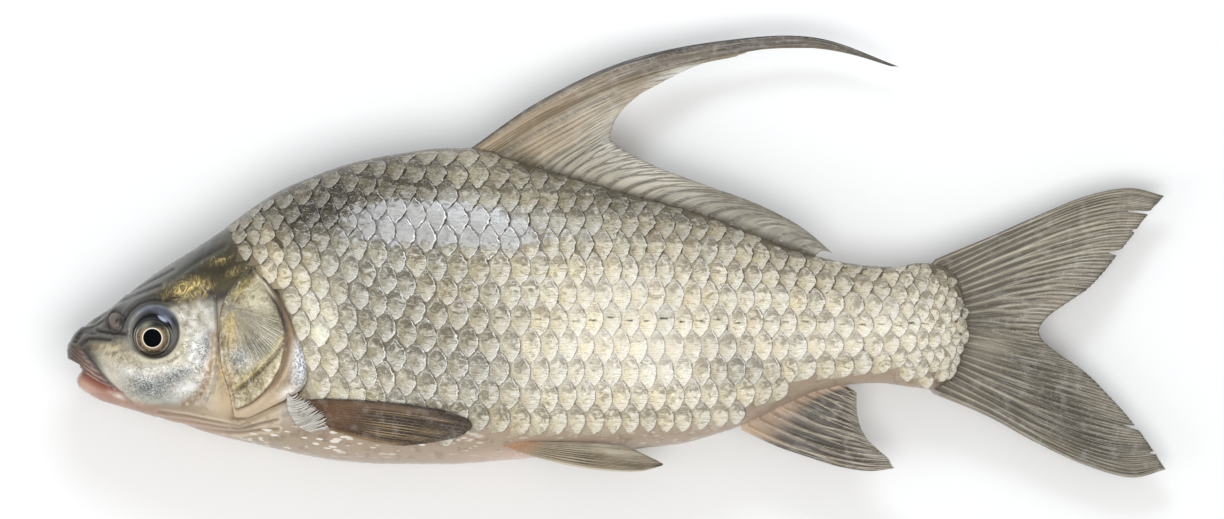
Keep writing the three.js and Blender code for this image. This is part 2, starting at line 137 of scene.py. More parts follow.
PECTORAL_RAYS = [
    [0, [[78.3, -25.7], [90.3, -25.5], [102, -26.2], [113.7, -27.3], [125.3, -29.3], [133.7, -32.3]]],
    [0.25, [[81, -28], [92, -28.3], [103, -29.3], [114.3, -30.7], [125.3, -32.3], [135, -34.3]]],
    [0.5, [[83.3, -30.7], [93, -31.7], [103, -33], [113, -34.3], [123, -36], [132.3, -37.3]]],
    [0.75, [[85.7, -33.3], [93.3, -35], [101, -36.5], [109, -37.8], [116.7, -38.8], [124, -39.7]]],
    [1, [[87.7, -36], [92.3, -37.5], [97, -38.8], [102, -40], [107, -40.7], [111.7, -41.2]]],
]
PELVIC_RAYS = [
    [0, [[145.7, -41.7], [157, -45.3], [168.3, -48], [179.7, -49.5], [190.3, -49.7], [198, -47.7]]],
    [0.33, [[148, -41], [158.7, -43.3], [169.3, -45], [179.7, -46.3], [189.7, -47.3], [198.3, -47.3]]],
    [0.66, [[150.7, -40.3], [159.7, -41.5], [168.7, -42.5], [177, -43.3], [185, -44.2], [193, -44.7]]],
    [1, [[153.7, -39.7], [160.7, -39.8], [167.7, -40], [174.3, -40.2], [180.3, -40.5], [186, -41.3]]],
]


# ---------------------------------------------------------------- curves
def smooth_through(points):
    """A smooth curve through [x, value] points: cubic pieces between neighbours. The slope at a point
    is the harmonic mean of the two straight slopes beside it, or zero at a peak, so that it never
    overshoots."""
    xs, vs = np.array(points, float).T
    steep = np.diff(vs) / np.diff(xs)
    a, b = steep[:-1], steep[1:]
    same = a * b > 0
    inner = np.where(same, 2 * a * b / np.where(same, a + b, 1), 0)
    slope = np.concatenate([steep[:1], inner, steep[-1:]])

    def curve(x):
        x = np.asarray(x, float)
        i = np.clip(np.searchsorted(xs, x, side="right") - 1, 0, len(xs) - 2)
        span = xs[i + 1] - xs[i]
        t = np.clip((x - xs[i]) / span, 0, 1)
        s = t * t * (3 - 2 * t)
        bend = t * (1 - t) * span * ((1 - t) * slope[i] - t * slope[i + 1])
        return vs[i] * (1 - s) + vs[i + 1] * s + bend

    return curve


def step(x, low, high):
    """0 below low, 1 above high, and the smooth cubic 3t^2 - 2t^3 between them."""
    t = np.clip((x - low) / (high - low), 0, 1)
    return t * t * (3 - 2 * t)


def bell(d, width):
    """1 at distance 0, falling as exp(-(d / width)^2)."""
    return np.exp(-((d / width) ** 2))


def blob(x, y, centre, radii, turn=0):
    """A soft oval patch in the side view: a bell of the distance in units of its two radii, turned by
    degrees."""
    c, s = math.cos(math.radians(turn)), math.sin(math.radians(turn))
    u = ((x - centre[0]) * c + (y - centre[1]) * s) / radii[0]
    v = ((y - centre[1]) * c - (x - centre[0]) * s) / radii[1]
    return np.exp(-(u * u + v * v))


def line_distance(x, y, line):
    """The distance from side-view places to the nearest point of a polyline."""
    nearest = np.full(np.shape(x), 1e9)
    for (ax, ay), (bx, by) in zip(line[:-1], line[1:]):
        ux, uy = bx - ax, by - ay
        t = np.clip(((x - ax) * ux + (y - ay) * uy) / (ux * ux + uy * uy), 0, 1)
        nearest = np.minimum(nearest, np.hypot(x - ax - t * ux, y - ay - t * uy))
    return nearest


def through(points, count):
    """count places evenly spaced along a smooth curve through side-view points, by chord length."""
    points = np.array(points, float)
    far = np.concatenate([[0], np.cumsum(np.hypot(*np.diff(points, axis=0).T))])
    t = np.linspace(0, far[-1], count)
    return np.stack([smooth_through(np.stack([far, points[:, q]], 1))(t) for q in (0, 1)], -1)


def ripple(x, y, seed, size):
    """Smooth waves from -1 to 1: the mean of five sine waves in seeded directions, about `size` long."""
    draw = np.random.default_rng(seed)
    total = 0
    for _ in range(5):
        turn, phase, stretch = draw.uniform(0, [math.tau, math.tau, 0.8])
        reach = (x * math.cos(turn) + y * math.sin(turn)) * math.tau / (size * (0.6 + stretch))
        total = total + np.sin(reach + phase)
    return total / 5


back = smooth_through(BACK)
belly = smooth_through(BELLY)
widest_level = smooth_through(WIDEST_LEVEL)
half_width = smooth_through(HALF_WIDTH)


def sag(x):
    """How far the fish droops at x: it grows as the square of the distance past the start of the droop."""
    return TAIL_SAG * np.maximum(0, (x - SAG_START) / (SAG_END - SAG_START)) ** 2


def half_section(x, up):
    """The reach from the widest level to the back (where up) or to the belly, and that half's exponents."""
    level = widest_level(x)
    reach = np.where(up, back(x) - level, level - belly(x))
    return reach, np.where(up, ABOVE[0], BELOW[0]), np.where(up, ABOVE[1], BELOW[1])


def flank(x, y):
    """The flank's distance from the middle plane: half width * (1 - t^e)^(1/f), where t is the share of the
    way from the widest level to the back or the belly, and e and f are the section's exponents."""
    level = widest_level(x)
    reach, e, f = half_section(x, y > level)
    t = np.clip(np.abs(y - level) / np.maximum(reach, 1e-6), 0, 1)
    return half_width(x) * (1 - t**e) ** (1 / f)


def section(x, a):
    """The skin's (y, z) at station x and angle a: 0 at the back, a quarter turn at the left flank. A
    superellipse: level + reach * |cos a|^(2/e) and half width * |sin a|^(2/f), with their signs."""
    c, s = np.cos(a), np.sin(a)
    reach, e, f = half_section(x, c > 0)
    y = widest_level(x) + reach * np.sign(c) * np.abs(c) ** (2 / e)
    z = half_width(x) * np.sign(s) * np.abs(s) ** (2 / f)
    return y, z


# The shared frame: the snout tip, the highest point of the back and the resting surface place the fish.
body_low, body_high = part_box("body")
SNOUT_X = body_low.x / MM
LEVEL_Y = body_high.y / MM - max(v for _, v in BACK)
MIDDLE_Z = cad_low.z / MM + REST_HALF_WIDTH
LOWEST = 0.05  # the skin's clearance over the resting surface


def settle(points):
    """Fish frame in millimetres to the shared frame in metres: minus the droop, plus the frame's own place,
    and never below the resting surface."""
    x, y, z = np.moveaxis(np.asarray(points, float), -1, 0)
    z = np.maximum(z - sag(x) + MIDDLE_Z, LOWEST)
    return np.stack([x + SNOUT_X, y + LEVEL_Y, z], -1) * MM


# ---------------------------------------------------------------- meshes
def quads(rows, cols, start=0, wrap=False):
    """Faces of a grid of rows x cols points numbered row by row from start. wrap closes each row on
    itself."""
    i, j = np.meshgrid(np.arange(rows - 1), np.arange(cols if wrap else cols - 1), indexing="ij")
    k = (j + 1) % cols
    a, b = start + i * cols, start + (i + 1) * cols
    return np.stack([a + j, b + j, b + k, a + k], -1).reshape(-1, 4)


def signed_volume(points, faces):
    """Six times the volume inside the quads, above zero where they face outwards."""
    a, b, c, d = (points[faces[:, k]] for k in range(4))
    return (np.cross(a, b) * c).sum() + (np.cross(a, c) * d).sum()


def rim(rows, cols):
    """The grid's border points in order round it, as flat indices."""
    index = np.arange(rows * cols).reshape(rows, cols)
    return np.concatenate([index[0, :-1], index[:-1, -1], index[-1, :0:-1], index[:0:-1, 0]])


def make_piece(name, points, faces, material, node=None, paint=None, uv=None, extra=None, caps=()):
    """Points already in the shared frame become a smooth-shaded piece. paint is a colour for each
    point, uv two numbers for each point, extra named numbers for each point, and caps lists pole fans
    (pole, ring)."""
    if signed_volume(points, faces) < 0:
        faces = faces[:, ::-1]
        caps = [(pole, ring[::-1]) for pole, ring in caps]
    polygons = faces.tolist()
    for pole, ring in caps:
        polygons += [[int(pole), int(p), int(q)] for p, q in zip(ring, np.roll(ring, -1))]
    mesh = bpy.data.meshes.new(name)
    mesh.from_pydata(points.tolist(), [], polygons)
    mesh.polygons.foreach_set("use_smooth", np.ones(len(polygons), bool))
    if paint is not None:
        colour = np.concatenate([np.clip(paint, 0, 1), np.ones((len(points), 1))], 1)
        mesh.attributes.new("paint", "FLOAT_COLOR", "POINT").data.foreach_set("color", colour.ravel())
    for key, values in (extra or {}).items():
        mesh.attributes.new(key, "FLOAT", "POINT").data.foreach_set("value", np.asarray(values, np.float32))
    if uv is not None:
        corner = np.empty(len(mesh.loops), int)
        mesh.loops.foreach_get("vertex_index", corner)
        mesh.uv_layers.new(name="UVMap").data.foreach_set("uv", np.asarray(uv, float)[corner].ravel())
    mesh.update()
    piece = bpy.data.objects.new(name + "_surface" if name == node else name, mesh)
    bpy.context.scene.collection.objects.link(piece)
    mesh.materials.append(material)
    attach(piece, "root")
    if node:
        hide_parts(node)
    return piece


def closed_sheet(top, bottom):
    """Two grids of points, one over the other, as one closed sheet: both grids and a strip round their
    rim."""
    rows, cols = top.shape[:2]
    points = np.concatenate([top.reshape(-1, 3), bottom.reshape(-1, 3)])
    border = rim(rows, cols)
    after = np.roll(border, -1)
    under = rows * cols
    strip = np.stack([border, after, after + under, border + under], -1)
    return points, np.concatenate([quads(rows, cols), quads(rows, cols, under)[:, ::-1], strip])


# ---------------------------------------------------------------- colours, as seen, 0 to 255
def seen(r, g, b):
    """An 8-bit display colour as linear light: v / 12.92 when dark, else ((v + 0.055) / 1.055)^2.4."""
    v = np.array([r, g, b]) / 255
    return np.where(v < 0.04045, v / 12.92, ((v + 0.055) / 1.055) ** 2.4)


def as_light(colour):
    """A tuple as the display colour it gives. An array is linear light already."""
    return seen(*colour) if isinstance(colour, tuple) else colour


OLIVE_BACK = seen(96, 88, 68)
DARK_RIDGE = seen(96, 88, 76)
GREY_CROWN = seen(112, 112, 108)
NAPE_BROWN = seen(66, 58, 38)
CHEEK = seen(228, 220, 202)
CHEEK_BLUE = seen(176, 182, 184)
CHEEK_GREY = seen(150, 146, 132)
SNOUT = seen(96, 88, 80)
LIP = seen(142, 112, 98)
PINK = seen(196, 150, 130)
THROAT = seen(168, 150, 128)
BELLY_SKIN = seen(174, 155, 135)
# painted shade: the colour laid in grooves, creases and the nostril's opening
GROOVE_SHADE = seen(52, 46, 40)


class Paint:
    """Layers of colour over side-view places, on a ground colour. A colour is a display colour (r, g, b) in a
    tuple, or linear light in an array."""

    def __init__(self, x, y, ground):
        self.x, self.y = x, y
        self.colour = np.ones(np.shape(x) + (3,)) * as_light(ground)

    def coat(self, colour, weight):
        """Replace the colour by its weight, from 0 to 1."""
        w = np.clip(weight, 0, 1)[..., None]
        self.colour = self.colour * (1 - w) + as_light(colour) * w

    def spots(self, colour, *ovals):
        """Coat with the sum of soft ovals, each given as weight, centre, radii and, where turned, degrees."""
        self.coat(colour, sum(weight * blob(self.x, self.y, *oval) for weight, *oval in ovals))


# ---------------------------------------------------------------- the head's lines, in the side view
EYE = (28.6, -4.6)
EYE_RADIUS, EYE_SUNK = 7.3, 5.4
SOCKET = (29.1, -3.5)
NOSTRIL = (15.7, 0.4)
CLEFT = smooth_through(
    [[0, -13.4], [2.2, -15.4], [4.4, -17.4], [7, -19.2], [11, -21.4], [14.4, -22.6], [20, -24]]
)
LIP_TOP = smooth_through(
    [[0, -6.6], [3.3, -7.8], [6, -11.2], [9, -14.8], [12.5, -18.8], [17, -23.2], [22.3, -27.6], [30, -33]]
)
SNOUT_GROOVE = [(2.4, -6.6), (5, -3.4), (8.6, -3.6), (12, -2.6), (15.6, -4), (20, -3.2)]
SNOUT_CREASE = [(5, -0.8), (8.6, -0.2), (11.6, 2.4), (14, 5)]
SNOUT_WRINKLES = [
    [(2.6, -5), (4.6, -2.4), (8.6, -1.6), (11.6, 0.4), (12.8, 3)],
    [(9.6, -2.4), (13, -3.4), (17, -3.2), (20.6, -4.8)],
    [(4.4, -7.6), (7, -5.6), (10.6, -5.6), (14, -6)],
    [(14.6, 5.8), (19, 7.6), (25, 10.2), (31, 12.4)],
    [(20, 9.6), (27, 13.4), (35, 17.6)],
]
BROW_CREASE = [(18.4, 0.2), (20.4, 3.6), (24, 6.4), (28.6, 7.8), (33, 7.4), (36.6, 8.4)]
CHEEK_EDGE = [(45.6, 12), (49.2, 9), (49.8, 0), (50.2, -9), (49.8, -18), (48.2, -24), (45, -29)]
COVER_HINGE = [
    (62.3, 18.4), (57.5, 14.2), (53, 9), (51, 3), (50.6, -5), (51.2, -14), (53.4, -21), (54.6, -26),
    (55.6, -31.4),
]
COVER_EDGE = [
    (62.3, 18.6), (66.4, 13.8), (70.4, 8.4), (73.6, 2.6), (75.8, -2.6), (77.8, -8), (79.4, -13.4),
    (79.9, -18.2), (78.4, -21.6), (74.6, -24.4), (69.6, -27), (64.2, -29.6), (59.2, -31.6), (55.6, -32.2),
]
COVER_OUTLINE = COVER_HINGE[:-1] + COVER_EDGE[:0:-1]
PLATE_EDGE = [
    (62.6, 17), (65.6, 12.4), (68.4, 7.6), (70.8, 3), (72.2, -1.8), (72.6, -6.6), (72, -11.6), (70, -17),
    (66.4, -22), (61.6, -26.2), (56.4, -28.6),
]
LOWER_PLATE = [(55.2, -23.4), (59, -20.8), (64, -16.4), (69.6, -10.6), (72.4, -6.4)]


def streak(x, y, line, width):
    """A soft streak along a polyline: a bell of the distance from it."""
    return bell(line_distance(x, y, line), width)


def mouth_places(x, y):
    """The height over the mouth's cleft, scaled, and the share of the way from the cleft to the lip's top."""
    over = y - CLEFT(x)
    return over * 0.8, np.clip(over / np.maximum(LIP_TOP(x) - CLEFT(x), 0.5), -2, 2)


def nostril_ring(x, y):
    """The distance from the nostril's middle, where its oval edge is at 1."""
    return np.hypot((x - NOSTRIL[0]) / 2.1, (y - NOSTRIL[1]) / 2.7)


def inside(x, y, outline):
    """Whether side-view places are inside a closed outline: an odd number of its edges lies to their
    right."""
    odd = np.zeros(np.shape(x), bool)
    for (ax, ay), (bx, by) in zip(outline, outline[1:] + outline[:1]):
        if ay == by:
            continue
        crossing = (ay > y) != (by > y)
        odd ^= crossing & (x < ax + (y - ay) * (bx - ax) / (by - ay))
    return odd


def head_relief(x, y):
    """How far the head's skin stands out from the plain loft, in millimetres, as a sum of bells and
    steps."""
    r = np.hypot(x - SOCKET[0], y - SOCKET[1])
    ball = np.hypot(x - EYE[0], y - EYE[1])
    raised = -3.4 * (1 - step(np.minimum(ball + 0.5, r), 6.9, 8.6)) + 0.5 * bell(r - 9.6, 1.1)
    raised += -0.3 * bell(r - 11.2, 0.8) * step(y, -6, 2)
    # nostril: a flap in a groove
    n = nostril_ring(x, y)
    raised += 0.9 * (1 - step(n, 0.75, 1.05)) - 0.8 * bell(n - 1.25, 0.22)
    raised += -0.6 * streak(x, y, SNOUT_GROOVE, 0.8) - 0.4 * streak(x, y, SNOUT_CREASE, 0.6)
    for wrinkle in SNOUT_WRINKLES:
        raised += -0.3 * streak(x, y, wrinkle, 0.5)
    # mouth: the open cleft, the folded upper lip and the full lower lip
    d, across = mouth_places(x, y)
    mouth = 1 - step(x, 10, 15.5)
    raised += -3.0 * bell(d, 0.75) * mouth
    gape = np.interp(y, [-19.6, -18.8, -17.2, -14.4, -12.2], [0, 0.7, 3.4, 1.7, 0])
    raised += -gape * (1 - step(x, 2.5, 6.5))
    lip = step(across, 0.02, 0.2) * (1 - step(across, 0.85, 1.1)) * (1 - step(x, 13, 20))
    raised += 0.7 * lip + 0.2 * np.cos(math.tau * (d + 0.06 * x) / 1.05) * lip * step(x, 0.6, 3)
    raised += -0.6 * bell(y - LIP_TOP(x), 0.7) * (1 - step(x, 17, 23)) * step(x, 2, 4)
    raised += 1.0 * bell(d + 2.4, 1.7) * (1 - step(x, 9, 17)) * step(x, 2.5, 4)
    # cheek, preopercle and skull roof
    raised += 0.7 * blob(x, y, (39, -12), (9, 10)) + 0.4 * blob(x, y, (20, -14), (7, 5))
    raised += -0.9 * streak(x, y, CHEEK_EDGE, 0.7)
    raised += -0.5 * streak(x, y, [(37, 5), (44, 8.4), (50, 12), (57, 17)], 0.9)
    raised += (
        -0.5 * streak(x, y, BROW_CREASE, 0.6) + 0.25 * bell(line_distance(x, y, BROW_CREASE) - 1.3, 0.6)
    )
    raised += 0.45 * blob(x, y, (13, -8), (2.6, 2)) + 0.4 * blob(x, y, (16.6, -11.6), (3.4, 1.7), -15)
    raised += 0.3 * ripple(x, y, 6, 5) * blob(x, y, (15, -10), (7, 5))
    raised += -0.45 * streak(x, y, [(15, -6), (20, -12), (27, -15.6), (35, -14.6), (40, -9.4)], 0.8)
    raised += -0.35 * streak(x, y, [(33, 13), (42, 19.5), (52, 25)], 0.8)
    # folds of the throat under the gill cover
    for fold in throat_folds():
        raised += -0.45 * streak(x, y, fold, 0.55)
    # the bed of the gill cover and the slit behind its free edge
    bed = inside(x, y, COVER_OUTLINE)
    slit = line_distance(x, y, COVER_EDGE)
    raised += np.where(bed, -1.8, 0) - 1.0 * bell(slit, 0.9) * ~bed
    wrinkle = 0.09 * ripple(x, y, 4, 2.2) + 0.05 * ripple(x, y, 5, 1.2)
    return raised + wrinkle * step(r, 8, 10)


CHIN = [[14, 17, 24, 30, 38, 44, 50], [-22, -23.5, -28, -27, -26.6, -27.6, -30]]
BROW = [[0, 4, 9, 14, 20, 30, 37, 45, 50, 56, 62], [-10, -6.5, -5, -5.2, -6, 2, 6, 6.6, 7, 8, 10]]


def skin_paint(x, y):
    """The bare skin's colour at side-view places: the back, the belly and every patch of the head."""
    share = (y - belly(x)) / np.maximum(back(x) - belly(x), 1e-6)
    skin = Paint(x, y, THROAT)
    skin.coat(BELLY_SKIN, step(x, 66, 95))
    skin.coat(BELLY_SKIN * 0.85, 0.5 * step(x, 200, 230))
    skin.coat(OLIVE_BACK * 1.1, step(x, 60, 80) * step(share, 0.12, 0.3))
    # cheek against crown and nape
    chin = np.interp(x, *CHIN)
    crown = step(y - np.interp(x, *BROW), -1, 1.6) * (1 - step(x, 60, 80))
    skin.coat(CHEEK * 0.8, (1 - crown) * step(y - chin, -0.8, 0.8) * (1 - step(x, 48, 52)))
    skin.coat(GREY_CROWN * 0.52 * (1 - 0.35 * step(x, 30, 45))[..., None], crown)
    ridge = back(x) - y
    # painted highlight along the crown's ridge
    skin.coat(GREY_CROWN, crown * bell(ridge - 2.2, 2.4) * step(x, 16, 24) * (1 - 0.7 * step(x, 34, 48)))
    skin.coat(GREY_CROWN * 0.9, crown * streak(x, y, [(14, 4), (22, 7.6), (30, 12.5)], 1.3))
    skin.spots(NAPE_BROWN * 0.62, (0.98, (50, 17.4), (14, 7.2), 28), (0.95, (34, 9.4), (8, 3.4), 20))
    skin.spots(NAPE_BROWN * 0.6, (0.9, (56.4, 16.6), (8, 4.6), 40), (0.6, (46, 16.6), (6, 1.8), 25))
    skin.spots(NAPE_BROWN * 2.2, (0.6, (58, 27.6), (7, 5), 40))
    skin.spots((186, 166, 106), (0.85, (41.4, 11), (6, 2.8), 8), (0.2, (49.8, 20.4), (4, 1.2), 12))
    skin.spots((140, 130, 84), (0.5, (57.4, 17.4), (4.4, 1.5), 25), (0.4, (53, 13), (4, 1.6), 35))
    skin.spots((66, 54, 58), (0.95, (47.6, 10), (1.9, 2.8)), (0.7, (51, 8.4), (3, 1.2), -5))
    skin.spots((150, 152, 140), (0.85, (48.6, 4.6), (3, 2.8)))
    # cheek
    fore = (1 - crown) * step(y - LIP_TOP(x), -0.5, 1)
    skin.coat((112, 103, 84), fore * 0.96 * (1 - step(x - 0.35 * (y + 8), 8, 17)))
    skin.coat((170, 154, 120), fore * 0.9 * blob(x, y, (16.4, -8.6), (6.4, 3.6), -20))
    skin.spots((206, 194, 160), (0.75, (17, -12), (3.4, 1.5), -12), (0.5, (12.4, -8), (1.6, 1.2)))
    lumps = ripple(x, y, 8, 3.4) + 0.5 * ripple(x, y, 9, 1.7)
    skin.coat((98, 86, 60), 0.75 * step(lumps, 0.02, 0.5) * blob(x, y, (15.4, -9.4), (7, 4.6), -20))
    skin.coat((214, 202, 166), 0.7 * step(-lumps, 0.05, 0.5) * blob(x, y, (16, -11), (7, 3.4), -20))
    skin.spots(CHEEK_GREY * 0.8, (0.8, (20, -5.6), (2.6, 4)))
    skin.spots(CHEEK, (0.9, (42.4, 0), (4.5, 6)))
    veins = ripple(x, y, 10, 4.2) + 0.6 * ripple(x, y, 11, 2)
    skin.coat(
        (146, 142, 118),
        0.7 * step(veins, 0.05, 0.6)
        * (blob(x, y, (41, 1), (6, 7)) + blob(x, y, (36, -13.4), (7, 2.4), 25)),
    )
    skin.coat(
        (250, 248, 240),
        0.8 * step(-veins, 0.1, 0.6)
        * (blob(x, y, (42, -2), (5, 9)) + blob(x, y, (26, -17), (8, 2.4), -15)),
    )
    skin.spots((190, 182, 148), (0.85, (38.6, -9), (2.6, 5), -25), (0.6, (24, -14.4), (5, 1.4), -14))
    skin.spots((246, 238, 214), (0.9, (30.6, -15.6), (8, 1.6), 10), (0.7, (37, -13.2), (2.6, 1.5), 30))
    skin.coat((118, 106, 74), 0.7 * streak(x, y, [(33.6, -13.4), (36, -12), (38.4, -10.6)], 0.5))
    skin.spots((255, 255, 252), (1, (43.4, -8), (3, 6), -16), (0.6, (31, -16), (8, 2), 8))
    skin.spots(CHEEK_BLUE * 0.8, (0.95, (27.5, -21.6), (7.5, 3.4), -14), (0.9, (37, -17.4), (5.4, 2), 22))
    skin.spots(CHEEK_BLUE * 0.9, (0.8, (46, -7.6), (1.9, 5), -16))
    skin.spots((255, 255, 252), (1, (38.8, -22), (4.6, 2.4), 24), (0.8, (23.6, -17.6), (4.4, 1.2), -28))
    skin.spots((178, 184, 174), (0.7, (30, -25.4), (9, 1.6), -10))
    strip = streak(x, y, [(48.9, -4), (48.4, -12), (46.6, -19.6), (43.6, -24.6), (39, -27.4)], 1.4)
    skin.coat((158, 132, 104), 0.85 * strip)
    skin.coat((238, 216, 190), 0.8 * strip * step(ripple(x, y, 13, 1.6), 0.15, 0.5))
    # throat
    skin.spots((212, 190, 158), (0.8, (51, -27), (6, 6), -20))
    folds = np.minimum.reduce([line_distance(x, y, line) for line in throat_folds()])
    # painted shade in the throat's creases, paler skin beside them
    skin.coat((116, 94, 72), 0.7 * bell(folds, 0.45))
    skin.coat((232, 214, 186), 0.6 * bell(folds - 1.0, 0.45))
    skin.spots((226, 208, 180), (0.8, (66, -30), (6, 1.6), 22), (0.6, (57, -33.4), (4, 1), 6))
    skin.spots((206, 196, 182), (0.85, (72.4, -28.6), (3.2, 5), 10))
    skin.coat((176, 140, 116), 0.75 * (1 - step(y - belly(x), 0.5, 4.5)) * (1 - step(x, 44, 60)))
    # snout and mouth
    skin.coat(SNOUT * 0.5, (1 - step(x, 14, 21)) * step(y - LIP_TOP(x), -0.6, 1.2) * step(y, -8, -5.4))
    skin.coat(SNOUT * 0.34, 0.9 * (1 - step(x + 0.5 * (y + 6), 4.6, 8)) * step(y - LIP_TOP(x), -0.4, 0.8))
    # painted shade in the brow crease, the snout's groove and crease and each wrinkle, lighter skin beside
    # the wrinkles
    skin.coat(GROOVE_SHADE * 0.6, 0.8 * streak(x, y, BROW_CREASE, 0.8))
    skin.spots(SNOUT * 1.2, (0.6, (9.5, -1), (3.4, 1.3), 20), (0.3, (3.6, -5.4), (1.6, 2), 40))
    skin.coat(GROOVE_SHADE * 0.7, 0.85 * streak(x, y, SNOUT_GROOVE, 0.7))
    skin.coat(GROOVE_SHADE * 0.8, 0.8 * streak(x, y, SNOUT_CREASE, 0.55))
    for wrinkle in SNOUT_WRINKLES:
        skin.coat(GROOVE_SHADE * 0.35, 0.8 * streak(x, y, wrinkle, 0.55))
        skin.coat(GREY_CROWN * 1.3, 0.4 * bell(line_distance(x, y, wrinkle) - 1.1, 0.45))
    d, across = mouth_places(x, y)
    upper = step(across, 0.0, 0.08) * (1 - step(across, 0.92, 1.06)) * (1 - step(x, 14, 22))
    skin.coat(LIP * 0.85, upper)
    skin.coat(SNOUT * 0.6, upper * 0.9 * (1 - step(x + 0.35 * y, -3, 4)))
    crease = step(np.cos(math.tau * (d + 0.06 * x) / 1.05 + 1.2 * ripple(x, y, 12, 3)), -0.3, 0.9)
    skin.coat(LIP * 0.3, 0.6 * upper * (1 - crease))
    skin.coat((206, 170, 156), 0.6 * upper * crease * blob(x, y, (9.4, -16.2), (5, 4), -45))
    # painted shade in the groove along the upper lip's top
    skin.coat(GROOVE_SHADE * 0.7, 0.85 * bell(y - LIP_TOP(x), 0.55) * (1 - step(x, 17, 23)) * step(x, 3, 5))
    lower = (1 - step(d, -0.4, 0.3)) * (1 - step(x - 0.5 * d, 16, 22))
    skin.coat(PINK * 0.74, lower)
    skin.coat((214, 180, 162), 0.6 * lower * blob(x, y, (6.4, -21.6), (5, 1.7), -22))
    skin.coat((170, 100, 82), 0.9 * bell(d, 0.9) * step(x, 4, 7) * (1 - step(x, 14, 19)))
    skin.spots((244, 232, 222), (0.9, (16.6, -24.6), (2.6, 0.7), -25))
    skin.spots((176, 132, 112), (0.7, (24, -28.2), (9, 1.6), -16))
    # nostril
    n = nostril_ring(x, y)
    # painted shade in the groove round the nostril and in its opening
    skin.coat(GROOVE_SHADE, 0.9 * bell(n - 1.3, 0.25))
    skin.coat((112, 98, 92), 1 - step(n, 0.7, 1.0))
    skin.coat(GROOVE_SHADE * 0.3, 1 - step(np.hypot((x - 16.8) / 0.8, y - 0.1), 0.5, 1.0))
    # rings round the eye: grey and glassy, painted shade above with a blurred painted highlight, dark brown
    # below
    r = np.hypot(x - SOCKET[0], y - SOCKET[1])
    turn = np.arctan2(y - SOCKET[1], x - SOCKET[0])
    over = step(np.sin(turn), 0.1, 0.7)
    skin.coat((112, 111, 106), 1 - step(r, 8.4 - 0.8 * (1 - over), 9.3 - 0.5 * (1 - over)))
    # painted shade along the top of the socket
    skin.coat((34, 36, 46), 0.95 * over * bell(r - 6.6, 1.7))
    skin.coat((112, 122, 136), 0.75 * over * bell(r - 8.6, 0.5))
    skin.coat((150, 146, 138), 0.8 * bell(r - 8.4, 0.7) * step(-np.cos(turn), 0.5, 0.9))
    skin.coat((176, 174, 166), 0.7 * bell(r - 7.7, 0.3) * (1 - over))
    left = step(-np.cos(turn), 0.3, 0.8)
    thin_rings = (
        0.7 * bell(r - 8.2, 0.25) * (1 - left) + 0.7 * bell(r - 7.2, 0.25) + 0.5 * left * bell(r - 9.3, 0.3)
    )
    skin.coat((70, 68, 66), thin_rings * (1 - over))
    # painted highlight: a blurred bluish-white streak on the ring above the eye, a fainter one over it
    skin.spots((214, 220, 238), (0.95, (31.8, 1.6), (2.1, 0.8), -38))
    skin.spots((150, 156, 176), (0.7, (31, 3.4), (3, 0.5), -20))
    skin.coat((54, 40, 28), 0.85 * bell(r - 8.3, 0.45) * step(-np.sin(turn), 0.3, 0.8))
    skin.coat((214, 206, 176), 0.8 * bell(r - 9.6, 0.5) * step(-np.sin(turn), 0.6, 0.95))
    # dark lines of the gill region
    # painted shade in the groove along the cheek's edge
    skin.coat(
        GROOVE_SHADE * 1.2, 0.85 * streak(x, y, CHEEK_EDGE[:6], 0.42) * (1 - 0.6 * (1 - step(y, -22, -8)))
    )
    skin.coat((178, 158, 112), 0.7 * bell(x - 51.4, 1.0) * step(y, -26, -18) * (1 - step(y, 2, 6)))
    # painted shadow in the slit behind the gill cover's free edge
    skin.coat((134, 108, 76), 0.9 * streak(x, y, COVER_EDGE, 1.8) * ~inside(x, y, COVER_OUTLINE))
    skin.coat(NAPE_BROWN, 0.6 * streak(x, y, [(37, 6), (44, 9), (52, 12.6), (60, 18)], 1.0))
    # ridge of the back, pink along the belly behind the fins, last touches on the head, the tail's root
    skin.coat(DARK_RIDGE, (1 - step(ridge, 2.2, 3.6)) * step(x, 50, 66) * (1 - 0.7 * step(x, 130, 142)))
    skin.spots((226, 192, 172), (0.6, (150, -45), (16, 2.2)))
    skin.spots((240, 238, 234), (0.5, (44, -10), (3.4, 3.4)))
    skin.spots((52, 46, 40), (0.8, (4, -6.5), (2.2, 1.8)))
    skin.spots((52, 46, 28), (0.4, (52, 18), (14, 7), 28))
    skin.spots((128, 104, 82), (0.35, (30, -30), (9, 3)))
    skin.coat((78, 70, 54), step(x, 286, 292) * (1 - step(y, -16, -12)))
    skin.coat((92, 84, 68), step(x, 289, 295))
    skin.coat(
        (156, 148, 130), 0.6 * step(x, 289, 295) * step(np.sin(y * 2.4 + ripple(x, y, 19, 5)), 0.1, 0.9),
    )
    return skin.colour


def gold_curls(x, y):
    """Where the nape's gold shows: a patch over the cheek, a smaller one on the nape, and a trace
    between."""
    gold = blob(x, y, (41, 11), (5.4, 2.8), 8) + 0.25 * blob(x, y, (35, 9.6), (4, 3))
    gold = (
        gold + 0.45 * blob(x, y, (49.8, 20.6), (4.2, 1.2), 12) + 0.35 * blob(x, y, (57, 17.6), (4, 1.2), 25)
    )
    return np.minimum(1, gold + 0.35 * blob(x, y, (51, -18), (2.6, 9), 8))


def cheek_specks(x, y):
    """Where the cheek is peppered with dark dots: a band under the eye, and a strip before the cheek's
    edge."""
    low = blob(x, y, (27, -21), (8, 4), -14) + blob(x, y, (37, -17.4), (5.4, 2.2), 22)
    return np.minimum(
        0.85, 0.9 * low + 0.8 * blob(x, y, (45.6, -9), (2, 6), -16) + 0.35 * blob(x, y, (16, -13), (6, 3))
    )


